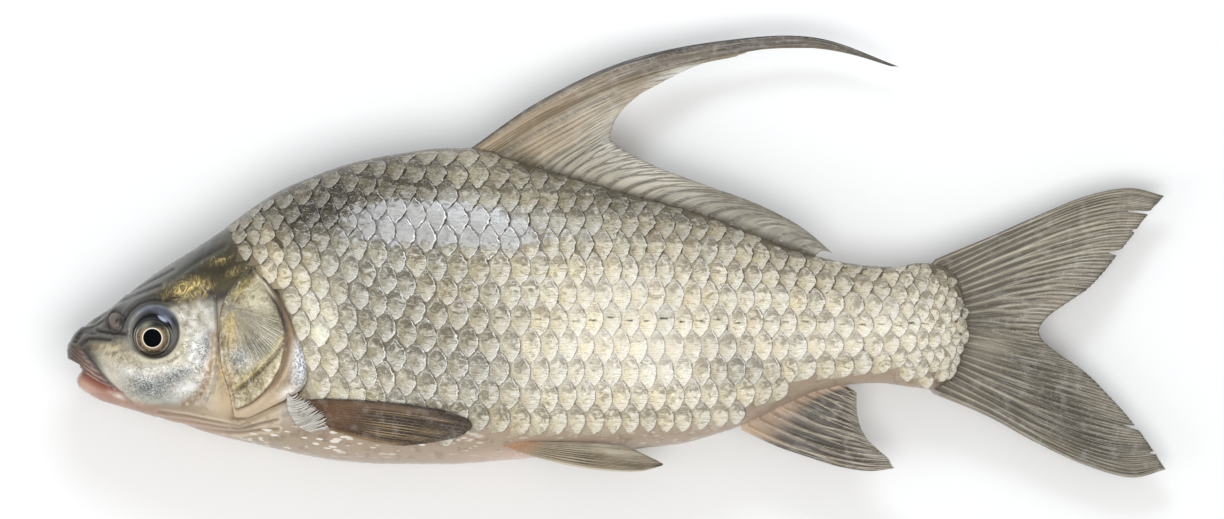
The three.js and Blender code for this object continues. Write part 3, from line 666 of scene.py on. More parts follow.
def throat_folds():
    """The creases under the head, from the jaw back to below the gill cover."""
    return [
        [(30, -30 - shift), (40, -31.4 - shift), (50, -33.4 - shift * 0.9), (57, -34.6 - shift * 0.7),
         (64, -31.6 - shift * 1.3), (70, -29 - shift * 2)]
        for shift in (0, 1.7, 3.3)
    ]


def skin_shine(x, y):
    """How pearly the bare skin is: 1 on the cheek, 0 on the lips, throat, crown, eye rim and belly."""
    chin = np.interp(x, *CHIN)
    cheek = (
        step(np.interp(x, *BROW) - y, 0, 2) * step(y - chin, 0, 2) * step(x, 14, 24) * (1 - step(x, 47, 50))
    )
    return cheek * step(np.hypot(x - SOCKET[0], y - SOCKET[1]), 9.2, 10.4)


# ---------------------------------------------------------------- materials
def feed(tree, socket, value):
    """Link a node's output to the socket, or set its constant. A colour of three numbers is made opaque."""
    if isinstance(value, bpy.types.NodeSocket):
        tree.links.new(value, socket)
    else:
        socket.default_value = (*value, 1) if socket.type == "RGBA" and len(value) == 3 else value


def value_node(tree, kind, inputs=None, **settings):
    """A shader node with its settings, and its inputs linked or set."""
    node = tree.nodes.new(kind)
    for key, setting in settings.items():
        setattr(node, key, setting)
    for key, value in (inputs or {}).items():
        feed(tree, node.inputs[key], value)
    return node


class Finish:
    """A node material being put together, with short calls for the nodes that all the finishes share."""

    def __init__(self, name, **fixed):
        self.material = bpy.data.materials.new(name)
        self.material.use_nodes = True
        self.tree = self.material.node_tree
        self.shader = self.tree.nodes["Principled BSDF"]
        for key, value in fixed.items():
            self.shader.inputs[key.replace("_", " ")].default_value = value

    def attribute(self, name, output="Fac"):
        return value_node(self.tree, "ShaderNodeAttribute", attribute_name=name).outputs[output]

    def place(self, scale=(1, 1, 1), source="Object"):
        coordinates = value_node(self.tree, "ShaderNodeTexCoord").outputs[source]
        inputs = {"Vector": coordinates, "Scale": scale}
        return value_node(self.tree, "ShaderNodeMapping", inputs).outputs["Vector"]

    def noise(self, place, scale, detail=4, rough=0.55, bend=0.0, output="Fac"):
        inputs = {"Vector": place, "Scale": scale, "Detail": detail, "Roughness": rough, "Distortion": bend}
        return value_node(self.tree, "ShaderNodeTexNoise", inputs).outputs[output]

    def cells(self, place, scale, feature="F1", output="Distance"):
        inputs = {"Vector": place, "Scale": scale}
        return value_node(self.tree, "ShaderNodeTexVoronoi", inputs, feature=feature).outputs[output]

    def math(self, operation, a, b=0.0):
        node = value_node(self.tree, "ShaderNodeMath", operation=operation)
        for socket, value in zip(node.inputs, (a, b)):
            feed(self.tree, socket, value)
        return node.outputs[0]

    def times(self, first, *factors):
        return functools.reduce(lambda a, b: self.math("MULTIPLY", a, b), factors, first)

    def plus(self, first, *others):
        return functools.reduce(lambda a, b: self.math("ADD", a, b), others, first)

    def band(self, value, low, high, to_low=0.0, to_high=1.0):
        inputs = {"Value": value, "From Min": low, "From Max": high, "To Min": to_low, "To Max": to_high}
        return value_node(self.tree, "ShaderNodeMapRange", inputs, interpolation_type="SMOOTHSTEP").outputs[
            0
        ]

    def mix(self, share, a, b, blend="MIX"):
        node = value_node(self.tree, "ShaderNodeMix", data_type="RGBA", blend_type=blend)
        for socket, value in zip((node.inputs[0], node.inputs[6], node.inputs[7]), (share, a, b)):
            feed(self.tree, socket, value)
        return node.outputs[2]

    def tinted(self, a, b):
        return self.mix(1.0, a, b, "MULTIPLY")

    def layer(self, colour, top, value, low, high, *weights):
        """top over the colour where the value passes from low (none) to high (all), times the weights."""
        return self.mix(self.times(self.band(value, low, high), *weights), colour, top)

    def bump(self, height, distance, strength=1.0, under=None):
        inputs = {"Height": height, "Distance": distance, "Strength": strength}
        if under:
            inputs["Normal"] = under
        return value_node(self.tree, "ShaderNodeBump", inputs).outputs[0]

    def use(self, **sockets):
        for key, value in sockets.items():
            self.tree.links.new(value, self.shader.inputs[key.replace("_", " ")])
        return self.material


def skin_finish():
    """Bare wet skin: the painted colour, mottled, with fine dark and pearly speckle on the cheek, curls
    of gold on the nape and pale grains on the throat."""
    f = Finish("bare_skin", IOR=1.4, Coat_Weight=0.6, Coat_Roughness=0.14, Coat_IOR=1.35)
    place = f.place()
    paint, shine, speckled = f.attribute("paint", "Color"), f.attribute("shine"), f.attribute("speckled")
    grains, gold = f.attribute("grains"), f.attribute("gold")
    broad = f.noise(place, 260, 5, 0.6, 0.4)
    fine = f.noise(place, 1500, 3, 0.6)
    dots = f.noise(f.place((1, 1, 1.3)), 2100, 2, 0.6)
    dark = f.tinted(paint, (0.5, 0.47, 0.41))
    light = f.mix(0.45, paint, (0.95, 0.93, 0.88))
    colour = f.layer(paint, dark, broad, 0.48, 0.34, 0.45)
    colour = f.layer(colour, light, broad, 0.52, 0.66, shine, 0.85)
    colour = f.layer(colour, dark, fine, 0.54, 0.66, shine, 0.45)
    colour = f.layer(colour, light, fine, 0.44, 0.34, shine, 0.6)
    colour = f.layer(colour, (0.1, 0.105, 0.11), dots, 0.49, 0.57, speckled)
    colour = f.layer(colour, (0.8, 0.81, 0.8), dots, 0.42, 0.34, speckled)
    curl = f.noise(f.place((1.4, 0.75, 1)), 250, 4, 0.66, 2.6)
    colour = f.layer(colour, seen(206, 178, 104), curl, 0.5, 0.56, gold)
    colour = f.layer(colour, seen(244, 226, 160), curl, 0.57, 0.63, gold)
    colour = f.layer(colour, seen(58, 48, 24), curl, 0.46, 0.38, gold, 0.8)
    crumbs = f.cells(f.place((0.42, 1.15, 1)), 560)
    size = f.band(f.noise(f.place((0.6, 1, 1)), 260, 3), 0.3, 0.7, 0.08, 0.56)
    grain = f.times(f.band(f.math("SUBTRACT", size, crumbs), 0.0, 0.12), grains)
    colour = f.mix(grain, colour, (0.84, 0.79, 0.69))
    crack = f.band(
        f.math("ABSOLUTE", f.math("SUBTRACT", f.noise(place, 210, 3, 0.6, 1.2), 0.5)), 0.022, 0.004
    )
    colour = f.mix(f.times(crack, shine, 0.5), colour, (0.16, 0.13, 0.08))
    height = f.plus(f.times(fine, 0.5), f.times(grain, 1.2))
    height = f.math("SUBTRACT", height, f.times(crack, shine))
    height = f.plus(height, f.times(curl, gold, 2.0))
    normal = f.bump(f.plus(height, broad), 0.00028, 0.5)
    return f.use(
        Base_Color=colour, Metallic=f.times(shine, 0.35), Roughness=f.band(broad, 0.3, 0.75, 0.3, 0.5),
        Normal=normal,
    )


def scale_finish():
    """A wet pearly scale. u counts row pitches up from its middle and v counts pitches forwards from
    the rear of its free edge. The clear field is a lens. Its rear is the free edge, v = RIM_BEND u^2,
    drawn by a thin dark line, partly pigment and partly painted shadow, with a broken white one inside
    it, partly the pale margin and partly a painted highlight. Its front fades into the dark base, partly
    pigment and partly painted shade. The field has painted shade above and a painted highlight low and
    at the rear, and is streaked, mottled and flecked. Where the painted reflection patch lies, a flat
    grey painted reflection covers it all."""
    f = Finish("scales", IOR=1.45, Coat_Weight=0.7, Coat_Roughness=0.12, Coat_IOR=1.36)
    paint, base_paint, luck = (
        f.attribute("paint", "Color"), f.attribute("base_paint", "Color"), f.attribute("luck"),
    )
    rim_light, shaded = f.attribute("rim_light"), f.attribute("shaded")
    sides = value_node(f.tree, "ShaderNodeSeparateXYZ", {"Vector": f.place(source="UV")}).outputs
    place = f.place()
    wobble = f.band(f.noise(place, 430, 3, 0.6), 0.28, 0.72, -0.07, 0.07)
    u, v = sides[0], f.plus(sides[1], wobble)
    bend = f.attribute("bend")
    edge = f.math("SUBTRACT", v, bend)
    front = f.math("SUBTRACT", f.math("SUBTRACT", f.attribute("reach"), v), bend)
    streaks = f.noise(f.place((19, 0.9, 1), "UV"), 1.0, 4, 0.7, 0.5)
    patches = f.noise(f.place((0.8, 1, 1)), 420, 3, 0.6, 0.9)
    grain = f.noise(f.place((0.6, 1, 1)), 1700, 3, 0.6)
    dark = f.tinted(paint, (0.4, 0.385, 0.34))
    light = f.mix(f.attribute("glow"), paint, (1.0, 0.98, 0.9))
    # painted shade over the upper part of the field, weighted by shaded
    high = f.band(f.plus(u, f.band(patches, 0.3, 0.7, 0.34, -0.34)), -0.12, 0.46)
    tone = f.mix(f.times(high, shaded), paint, dark)
    # the front fades towards the base: painted shade under the scale in front, partly pigment
    ahead = f.times(f.band(front, 0.5, 0.04), 0.85)
    tone = f.mix(ahead, tone, f.mix(0.5, base_paint, tone))
    # painted highlight low and at the rear of the field
    lit = f.times(
        f.band(edge, 0.62, 0.2), f.band(f.plus(u, f.band(patches, 0.3, 0.7, 0.3, -0.3)), 0.3, -0.2)
    )
    tone = f.mix(f.times(lit, 0.55), tone, light)
    tone = f.layer(tone, light, patches, 0.54, 0.68, 0.6)
    tone = f.layer(tone, dark, patches, 0.45, 0.32, shaded, 0.75)
    tone = f.layer(tone, dark, streaks, 0.53, 0.66, shaded, 0.75)
    tone = f.layer(tone, light, streaks, 0.46, 0.36, 0.55)
    tone = f.layer(tone, dark, grain, 0.56, 0.66, shaded, 0.3)
    tone = f.layer(tone, (0.97, 0.95, 0.9), grain, 0.42, 0.32, 0.4)
    warm = f.times(f.band(edge, 0.3, 0.9), f.band(u, 0.3, -0.3))
    tone = f.mix(f.times(warm, 0.6), tone, f.tinted(tone, (1.0, 0.95, 0.74)))
    cool = f.times(f.band(edge, 0.6, 0.1), f.band(u, 0.0, 0.4))
    tone = f.mix(f.times(cool, 0.6), tone, f.tinted(tone, (0.92, 0.9, 1.0)))
    colour = f.layer(base_paint, tone, front, -0.02, 0.09)
    # painted reflection: a flat grey patch high on the flank
    film = f.band(f.plus(f.attribute("film"), f.band(patches, 0.3, 0.7, -0.3, 0.3)), 0.28, 0.7)
    painted_reflection_colour = f.layer(seen(164, 163, 164), seen(188, 188, 186), f.plus(streaks, patches), 0.8, 1.2)
    painted_reflection_colour = f.layer(seen(150, 146, 150), painted_reflection_colour, front, 0.0, 0.1)
    colour = f.mix(f.times(film, 0.85), colour, painted_reflection_colour)
    # broken white lines along the front and rear of the field, partly the pale margin and partly painted
    # highlight
    broken = f.times(rim_light, f.band(f.noise(place, 330, 3, 0.6), 0.42, 0.56, 0.15, 1.0))
    front_line = f.times(f.band(front, 0.0, 0.03), f.band(front, 0.08, 0.045))
    colour = f.mix(f.times(front_line, broken, 0.6), colour, (0.9, 0.89, 0.84))
    rim_line = f.times(f.band(edge, 0.11, 0.075), f.band(edge, 0.03, 0.05))
    colour = f.mix(f.times(rim_line, broken), colour, (0.97, 0.96, 0.93))
    # a thin dark line at the free edge, partly pigment and partly painted shadow
    brim = f.times(f.band(edge, 0.055, 0.02), f.attribute("outlined"))
    colour = f.mix(brim, colour, f.tinted(base_paint, (0.36, 0.31, 0.23)))
    wide = f.math("ABSOLUTE", f.plus(u, f.band(luck, 0, 1, -0.06, 0.06)))
    pore = f.times(f.band(wide, 0.06, 0.02), f.band(v, 0.36, 0.5), f.band(v, 0.9, 0.74))
    pore = f.times(pore, f.attribute("pore"))
    colour = f.mix(f.times(pore, f.band(patches, 0.3, 0.6, 1.0, 0.5)), colour, (0.055, 0.045, 0.028))
    height = f.plus(f.times(streaks, 1.3), f.times(patches, 1.6))
    height = f.plus(height, f.times(grain, 0.15))
    return f.use(
        Base_Color=colour, Metallic=f.band(luck, 0.0, 1.0, 0.1, 0.4),
        Roughness=f.band(patches, 0.3, 0.7, 0.24, 0.44),
        Normal=f.bump(f.times(height, f.band(film, 0.0, 1.0, 1.0, 0.35)), 0.00036, 0.9),
    )


def cover_finish():
    """Thin wet bone: the painted colour with a fan of pale raised lines, bright and dark patches and
    dark and pale speckle, all fading where the soft membrane begins."""
    f = Finish("gill_cover_bone", IOR=1.42, Coat_Weight=0.7, Coat_Roughness=0.12, Coat_IOR=1.35)
    place = f.place()
    paint, shine, fan = f.attribute("paint", "Color"), f.attribute("shine"), f.attribute("fan")
    ray, bone = f.attribute("ray"), f.attribute("bone")
    lines = f.noise(fan, 46, 2, 0.5)
    spokes = value_node(f.tree, "ShaderNodeCombineXYZ", {"X": f.times(fan, 9.0), "Y": f.attribute("away")})
    spokes = f.noise(spokes.outputs[0], 1.0, 4, 0.7, 0.6)
    broad = f.noise(place, 330, 5, 0.66, 1.0)
    fine = f.noise(place, 1500, 3, 0.62)
    dark = f.tinted(paint, (0.34, 0.31, 0.22))
    light = f.mix(0.5, paint, (0.95, 0.91, 0.78))
    colour = f.layer(paint, dark, broad, 0.5, 0.34, bone, 0.75)
    colour = f.layer(colour, light, broad, 0.54, 0.66, bone, 0.8)
    colour = f.layer(colour, dark, spokes, 0.52, 0.64, bone, 0.6)
    colour = f.layer(colour, light, spokes, 0.47, 0.36, bone, 0.6)
    colour = f.layer(colour, dark, fine, 0.53, 0.63, bone, 0.35)
    colour = f.layer(colour, light, fine, 0.45, 0.36, bone, 0.35)
    colour = f.layer(colour, (0.12, 0.1, 0.06), lines, 0.5, 0.42, ray, 0.5)
    colour = f.layer(colour, (0.93, 0.88, 0.74), lines, 0.51, 0.54, ray, 0.95)
    dots = f.noise(place, 1500, 2)
    colour = f.layer(colour, (0.13, 0.14, 0.16), dots, 0.5, 0.57, f.attribute("speckled"))
    colour = f.layer(colour, (0.85, 0.86, 0.86), dots, 0.43, 0.36, f.attribute("speckled"))
    height = f.plus(broad, f.times(fine, 0.4), f.times(f.band(lines, 0.5, 0.6), ray, 0.8))
    return f.use(
        Base_Color=colour, Metallic=f.times(shine, 0.3), Roughness=f.band(broad, 0.3, 0.7, 0.26, 0.42),
        Normal=f.bump(height, 0.0003, 0.8),
    )


def fin_finish():
    """A wet fin: the painted web and rays, with the cross joints of the rays and dark and pale streaks
    along them. u counts rays across the fin and v is the distance out along a ray in millimetres."""
    f = Finish("fins", IOR=1.4, Coat_Weight=0.4, Coat_Roughness=0.2, Coat_IOR=1.35)
    paint, ray, lined = f.attribute("paint", "Color"), f.attribute("ray"), f.attribute("lined")
    place = f.place()
    streaks = f.noise(f.place((7, 0.055, 1), "UV"), 1.0, 4, 0.7)
    joints = f.noise(f.place((3.1, 1.5, 1), "UV"), 1.0, 1, 0.5)
    mottle = f.noise(place, 260, 4)
    dark = f.tinted(paint, (0.26, 0.235, 0.19))
    light = f.mix(0.45, paint, (0.93, 0.91, 0.86))
    colour = f.layer(paint, dark, streaks, 0.5, 0.62, lined)
    colour = f.layer(colour, light, streaks, 0.46, 0.36, lined, 0.8)
    colour = f.layer(colour, light, mottle, 0.5, 0.7, 0.25)
    colour = f.layer(colour, light, joints, 0.56, 0.66, ray, 0.4)
    height = f.plus(streaks, f.times(joints, ray, 0.6))
    return f.use(
        Base_Color=colour,
        Roughness=f.band(mottle, 0.3, 0.7, 0.34, 0.5),
        Alpha=f.attribute("cover"),
        Normal=f.bump(height, 0.00022, 0.6),
    )


def eye_finish():
    """The eyeball by its distance from the pupil's centre: black pupil, thin white ring, brown iris
    with fine rays, a pale line round it and a dark rim. Its upper half is darkened with painted shade,
    with a painted greenish highlight on it and a painted bluish-white highlight at its upper right."""
    f = Finish("eye", IOR=1.1, Coat_Weight=0.0)
    out, rise = f.attribute("from_pupil"), f.attribute("rise")
    place = f.place()
    colour = f.layer(seen(78, 68, 54), seen(138, 124, 100), f.noise(place, 1100, 4), 0.35, 0.65)
    colour = f.layer(colour, seen(166, 146, 116), out, 4.4, 3.5)
    colour = f.layer(colour, seen(176, 170, 156), out, 5.15, 5.35, f.band(out, 5.75, 5.5))
    colour = f.layer(colour, seen(84, 80, 74), out, 5.6, 6.0)
    colour = f.layer(colour, seen(150, 146, 138), out, 6.1, 6.25, f.band(out, 6.6, 6.4))
    colour = f.layer(colour, seen(44, 42, 42), out, 6.4, 6.8)
    # painted shade over the upper half
    colour = f.layer(colour, seen(38, 40, 46), rise, 1.6, 3.6, 0.9)
    colour = f.layer(colour, seen(46, 38, 30), rise, -4.4, -5.4, 0.75)
    # painted highlights: a greenish gleam and a bluish-white glint
    colour = f.mix(f.attribute("gleam"), colour, seen(150, 152, 134))
    colour = f.mix(f.attribute("spark"), colour, seen(206, 214, 236))
    colour = f.layer(colour, seen(248, 238, 220), out, 3.42, 3.28)
    colour = f.layer(colour, (0.001, 0.002, 0.003), out, 3.1, 2.98)
    return f.use(
        Base_Color=colour,
        Roughness=f.band(out, 3.0, 3.3, 0.5, 0.3),
        Normal=f.bump(f.noise(place, 700, 3), 0.00006, 0.5),
    )


RIM_BEND = 1.04  # how far a scale's free edge curves forwards: pitches per squared row pitch
RIM_SLANT = 0.77  # the same for a pointed scale: pitches per row pitch
SKIN = skin_finish()
SCALES = scale_finish()
COVER_BONE = cover_finish()
FIN_WEB = fin_finish()
EYEBALL = eye_finish()


# ---------------------------------------------------------------- body
def build_body():
    """The skin as one closed grid: stations along the fish, finer on the head, times angles round it, finer
    on the flanks. Each point is the section's point plus the head's relief along the outward normal."""
    stations = np.concatenate(
        [
            5 * (np.arange(1, 23) / 23) ** 1.7, np.linspace(5, 86, 180),
            np.linspace(86, BODY_LENGTH, 128)[1:-1],
        ]
    )
    around = 290
    u = math.tau * np.arange(around) / around
    angles = u + 0.15 * np.sin(2 * u)
    x, a = np.meshgrid(stations, angles, indexing="ij")

    def plain(x, a):
        y, z = section(x, a)
        return np.stack([np.broadcast_to(x, y.shape), y, z], -1)

    base = plain(x, a)
    small = 0.05
    along = plain(x + small, a) - plain(np.maximum(x - small, 0), a)
    round_ = plain(x, a + 0.01) - plain(x, a - 0.01)
    normal = np.cross(along, round_)
    normal /= np.linalg.norm(normal, axis=-1, keepdims=True) + 1e-9
    outward = np.sign((normal[..., 1:] * base[..., 1:]).sum(-1).mean())
    points = base + normal * (outward * head_relief(base[..., 0], base[..., 1]))[..., None]
    poles = np.array([[0, widest_level(0), 0], [BODY_LENGTH, widest_level(BODY_LENGTH), 0]])
    flat = np.concatenate([points.reshape(-1, 3), poles])
    side = np.concatenate([base.reshape(-1, 3), poles])
    faces = quads(len(stations), around, wrap=True)
    first, last = np.arange(around), (len(stations) - 1) * around + np.arange(around)
    settled = settle(flat)
    px, py = side[:, 0], side[:, 1]
    grains = step(px, 50, 66) * (1 - step(px, 120, 150)) * (1 - step(py, -36, -30)) * step(py, -46.5, -41)
    grains = grains + 0.35 * step(px, 130, 160) * (1 - step(py, -36, -32))
    make_piece(
        "body_skin", settled, faces, SKIN, node="body",
        paint=skin_paint(px, py),
        extra={
            "shine": skin_shine(px, py), "grains": grains, "gold": gold_curls(px, py),
            "speckled": cheek_specks(px, py),
        },
        caps=[(len(flat) - 2, first), (len(flat) - 1, last[::-1])],
    )


# ---------------------------------------------------------------- scales
def gloss_film(x, y):
    """Where the flat grey painted reflection lies high on the flank: 1 inside a long box with soft edges, a
    little lower to the rear."""
    top = 9 - 5 * step(x, 128, 160) - 3 * (1 - step(x, 92, 112))
    level = y - 32 + 0.05 * (x - 124) + 0.8 * ripple(x, y, 17, 14)
    return np.exp(-np.abs((x - 125) / 34) ** 5 - np.abs(level / np.where(level > 0, top, 7.6)) ** 4)


LATERAL_LINE = smooth_through([
    [38, 24], [60, 18.6], [78, 14.2], [90, 11], [100, 8.2], [110, 5.6], [120, 3.6], [132, 2], [146, 1.1],
    [200, 0.6], [250, -0.4], [300, -1.5],
])
TABLE_X = np.arange(40.0, 300.0, 1.0)
TABLE_S = np.arange(-80.0, 90.0, 0.5)


def arc_table():
    """For each station the skin's (y, z) at even steps of arc length s up the left flank from the lateral
    line, measured along the section, and the s of the belly's ridge and of the back's."""
    a = np.linspace(math.pi, -math.pi / 2, 1200)
    y, z = section(TABLE_X[:, None], a[None, :])
    far = np.concatenate(
        [np.zeros((len(TABLE_X), 1)), np.cumsum(np.hypot(np.diff(y), np.diff(z)), axis=1)], axis=1
    )
    table = np.empty((len(TABLE_X), len(TABLE_S), 2))
    ridges = np.empty((len(TABLE_X), 2))
    for i, row in enumerate(far):
        rising = slice(0, np.argmax(y[i]) + 1)
        start = np.interp(LATERAL_LINE(TABLE_X[i]), y[i][rising], row[rising])
        table[i, :, 0] = np.interp(TABLE_S, row - start, y[i])
        table[i, :, 1] = np.interp(TABLE_S, row - start, z[i])
        ridges[i] = -start, np.interp(0, -a, row) - start
    return table, ridges


ARC_TABLE, ARC_ENDS = arc_table()


def on_flank(x, s, lift, side):
    """A point at station x and arc length s above the lateral line, lifted along the skin's normal: the
    table read by straight-line interpolation both ways, with the normal from two small steps along
    it."""

    def read(x, s):
        i = np.clip((x - TABLE_X[0]) / (TABLE_X[1] - TABLE_X[0]), 0, len(TABLE_X) - 1.001)
        k = np.clip((s - TABLE_S[0]) / (TABLE_S[1] - TABLE_S[0]), 0, len(TABLE_S) - 1.001)
        i0, k0 = i.astype(int), k.astype(int)
        over_x, over_s = (i - i0)[..., None], (k - k0)[..., None]
        low = ARC_TABLE[i0, k0] * (1 - over_s) + ARC_TABLE[i0, k0 + 1] * over_s
        high = ARC_TABLE[i0 + 1, k0] * (1 - over_s) + ARC_TABLE[i0 + 1, k0 + 1] * over_s
        return np.concatenate([x[..., None], low * (1 - over_x) + high * over_x], -1)

    middle = read(x, s)
    normal = np.cross(read(x + 0.8, s) - read(x - 0.8, s), read(x, s + 0.8) - read(x, s - 0.8))
    normal /= np.linalg.norm(normal, axis=-1, keepdims=True) + 1e-9
    point = middle + normal * lift[..., None]
    point[..., 2] *= side
    return point


SCALE_PITCH = smooth_through([
    [40, 4.4], [62, 4.9], [72, 5.8], [80, 6.2], [100, 6.3], [115, 6.8], [130, 7], [148, 6.7], [160, 6],
    [235, 5.85], [250, 6.3], [264, 6.4], [276, 5.2], [286, 3.9], [294, 3.2], [304, 2.8],
])
ROW_PITCH = smooth_through([
    [40, 5], [60, 5.8], [72, 6.8], [80, 7.8], [95, 8.2], [125, 8.2], [160, 8.5], [200, 8.4], [225, 7.9],
    [250, 7.3], [268, 6.5], [284, 4.9], [300, 3.5],
])
# where the scaled skin starts, [level, station], and how low it reaches, [station, level]
SCALED_FRONT = [
    [-60, 97], [-40, 92], [-28, 90], [-23, 86], [-17, 82], [-8, 80], [0, 77], [8, 72.6], [14, 67.6],
    [19, 62.4], [23, 58], [28, 54], [33, 54], [40, 62], [46, 72], [52, 88], [60, 120],
]
SCALED_LOW = [
    [76, -24], [88, -29], [105, -35], [130, -37.6], [150, -36.8], [170, -35], [195, -33], [215, -34],
    [228, -31], [240, -24], [250, -19.6], [262, -17], [280, -17], [288, -19.6], [299, -20],
]


SCALE_ROWS = range(-8, 11)  # counted up from the lateral line


def lay_scales():
    """Where each scale's free edge is: (x, s, row) on a brick lattice. In a row each edge lies one pitch
    behind the last, odd rows are half a pitch back, and row r lies r row pitches above the lateral line.
    Only places inside the scaled area are kept."""
    columns = [46.0]
    while columns[-1] < 302:
        columns.append(columns[-1] + float(SCALE_PITCH(columns[-1])))
    columns = np.array(columns)
    places = []
    for row in SCALE_ROWS:
        x = columns[:-1] + (np.diff(columns) / 2 if row % 2 else 0)
        s = row * ROW_PITCH(x)
        station = np.clip(x - TABLE_X[0], 0, len(TABLE_X) - 1).astype(int)
        y = np.array([np.interp(b, TABLE_S, ARC_TABLE[i, :, 0]) for i, b in zip(station, s)])
        top = np.interp(x, TABLE_X, ARC_ENDS[:, 1]) - np.interp(x, [60, 90, 130, 150], [4.6, 3.6, 2.6, 0.6])
        bottom = np.interp(x, TABLE_X, ARC_ENDS[:, 0])
        front = np.interp(y, *np.array(SCALED_FRONT).T)
        low = np.interp(x, *np.array(SCALED_LOW).T)
        rear = 301.5 - 0.012 * (y - 2) ** 2
        keep = (x > front + 2.2) & (x < rear) & (s < top) & (s > bottom + 1) & (y > low)
        places += [(a, b, row) for a, b in zip(x[keep], s[keep])]
    return np.array(places)


def scale_paint(x, y, share, luck, hue):
    """A scale's own colour: dark olive on the back, cream and silver on the flank, brightest behind the
    middle and on the shoulder, greyer in a wedge behind the pectoral fin. luck makes it lighter and hue
    warmer."""
    p = Paint(x, y, (190, 182, 158))
    p.coat((206, 197, 172), 0.9 * step(x, 126, 156))
    p.coat((224, 213, 188), 0.9 * step(x, 150, 176))
    p.spots((158, 150, 130), (0.95, (116, -10), (22, 12)), (0.5, (140, -16), (12, 8)))
    p.spots((162, 156, 142), (0.85, (106, 12), (17, 12)))
    p.spots((250, 240, 220), (0.95, (184, 6), (16, 11)), (0.8, (200, -14), (14, 8)))
    p.spots((248, 238, 216), (0.85, (269, 2), (15, 7)), (0.5, (212, -27), (12, 4)))
    p.spots((164, 156, 138), (0.85, (222, -14), (13, 6), -10), (0.5, (283, -13), (10, 5)))
    p.spots((255, 246, 222), (0.97, (83.5, -2), (7, 17), 10), (0.6, (94, -26), (7, 4)))
    p.spots((186, 184, 174), (0.7, (92, 24), (9, 5)))
    upper = step(share, 0.64, 0.8)
    p.coat((168, 160, 138), 0.9 * upper * (1 - 0.5 * step(x, 160, 200)))
    p.coat((216, 206, 182), 0.75 * upper * step(x, 180, 230))
    p.coat((148, 139, 116), step(share, 0.83, 0.96) * (1 - 0.5 * step(x, 200, 235)))
    p.spots((58, 50, 30), (0.97, (86, 38), (26, 10), 25))
    p.spots((84, 75, 52), (0.7, (116, 45), (18, 7)), (0.5, (182, 40), (22, 5), -18))
    p.spots((186, 176, 150), (0.6, (138, 52), (10, 5)), (0.5, (66, 27), (8, 6), 45))
    p.spots((246, 232, 196), (0.9, (70, 19), (6, 10), 35))
    p.coat((226, 208, 188), 0.5 * (1 - step(share, 0.04, 0.16)))
    p.coat(
        (253, 245, 221),
        0.46 * step(x, 136, 166) * (1 - upper) * (1 - blob(x, y, (222, -14), (16, 8), -10)),
    )
    p.spots((250, 241, 214), (0.5, (84, -24), (8, 5)))
    tint = 1 + hue[..., None] * np.array([0.025, 0.0, -0.05])
    return p.colour * tint * (0.92 + 0.2 * luck[..., None])


PLATE_U = np.array([-0.83, -0.78, -0.62, -0.42, -0.21, 0, 0.21, 0.42, 0.62, 0.78, 0.83])  # row pitches
PLATE_P = np.array([0, 0.03, 0.22, 0.55, 1])  # share of the way from the free edge to the buried front
PLATE_REACH = 1.75  # how far forwards a plate runs, in pitches
PLATE_THICK = 0.3
PLATE_LIFT = 0.42  # the free edge's height over the skin
PLATE_SLOPE = 0.5 / 1.3  # how far the height falls in a pitch
SCATTER = {"place": 0.17, "size": 0.028, "tilt": 0.06, "twist": 0.05, "hue": 0.6, "reach": 0.02}


def per_plate(values):
    """One value for each plate, ready to meet a plate's grid."""
    return np.asarray(values)[:, None, None]


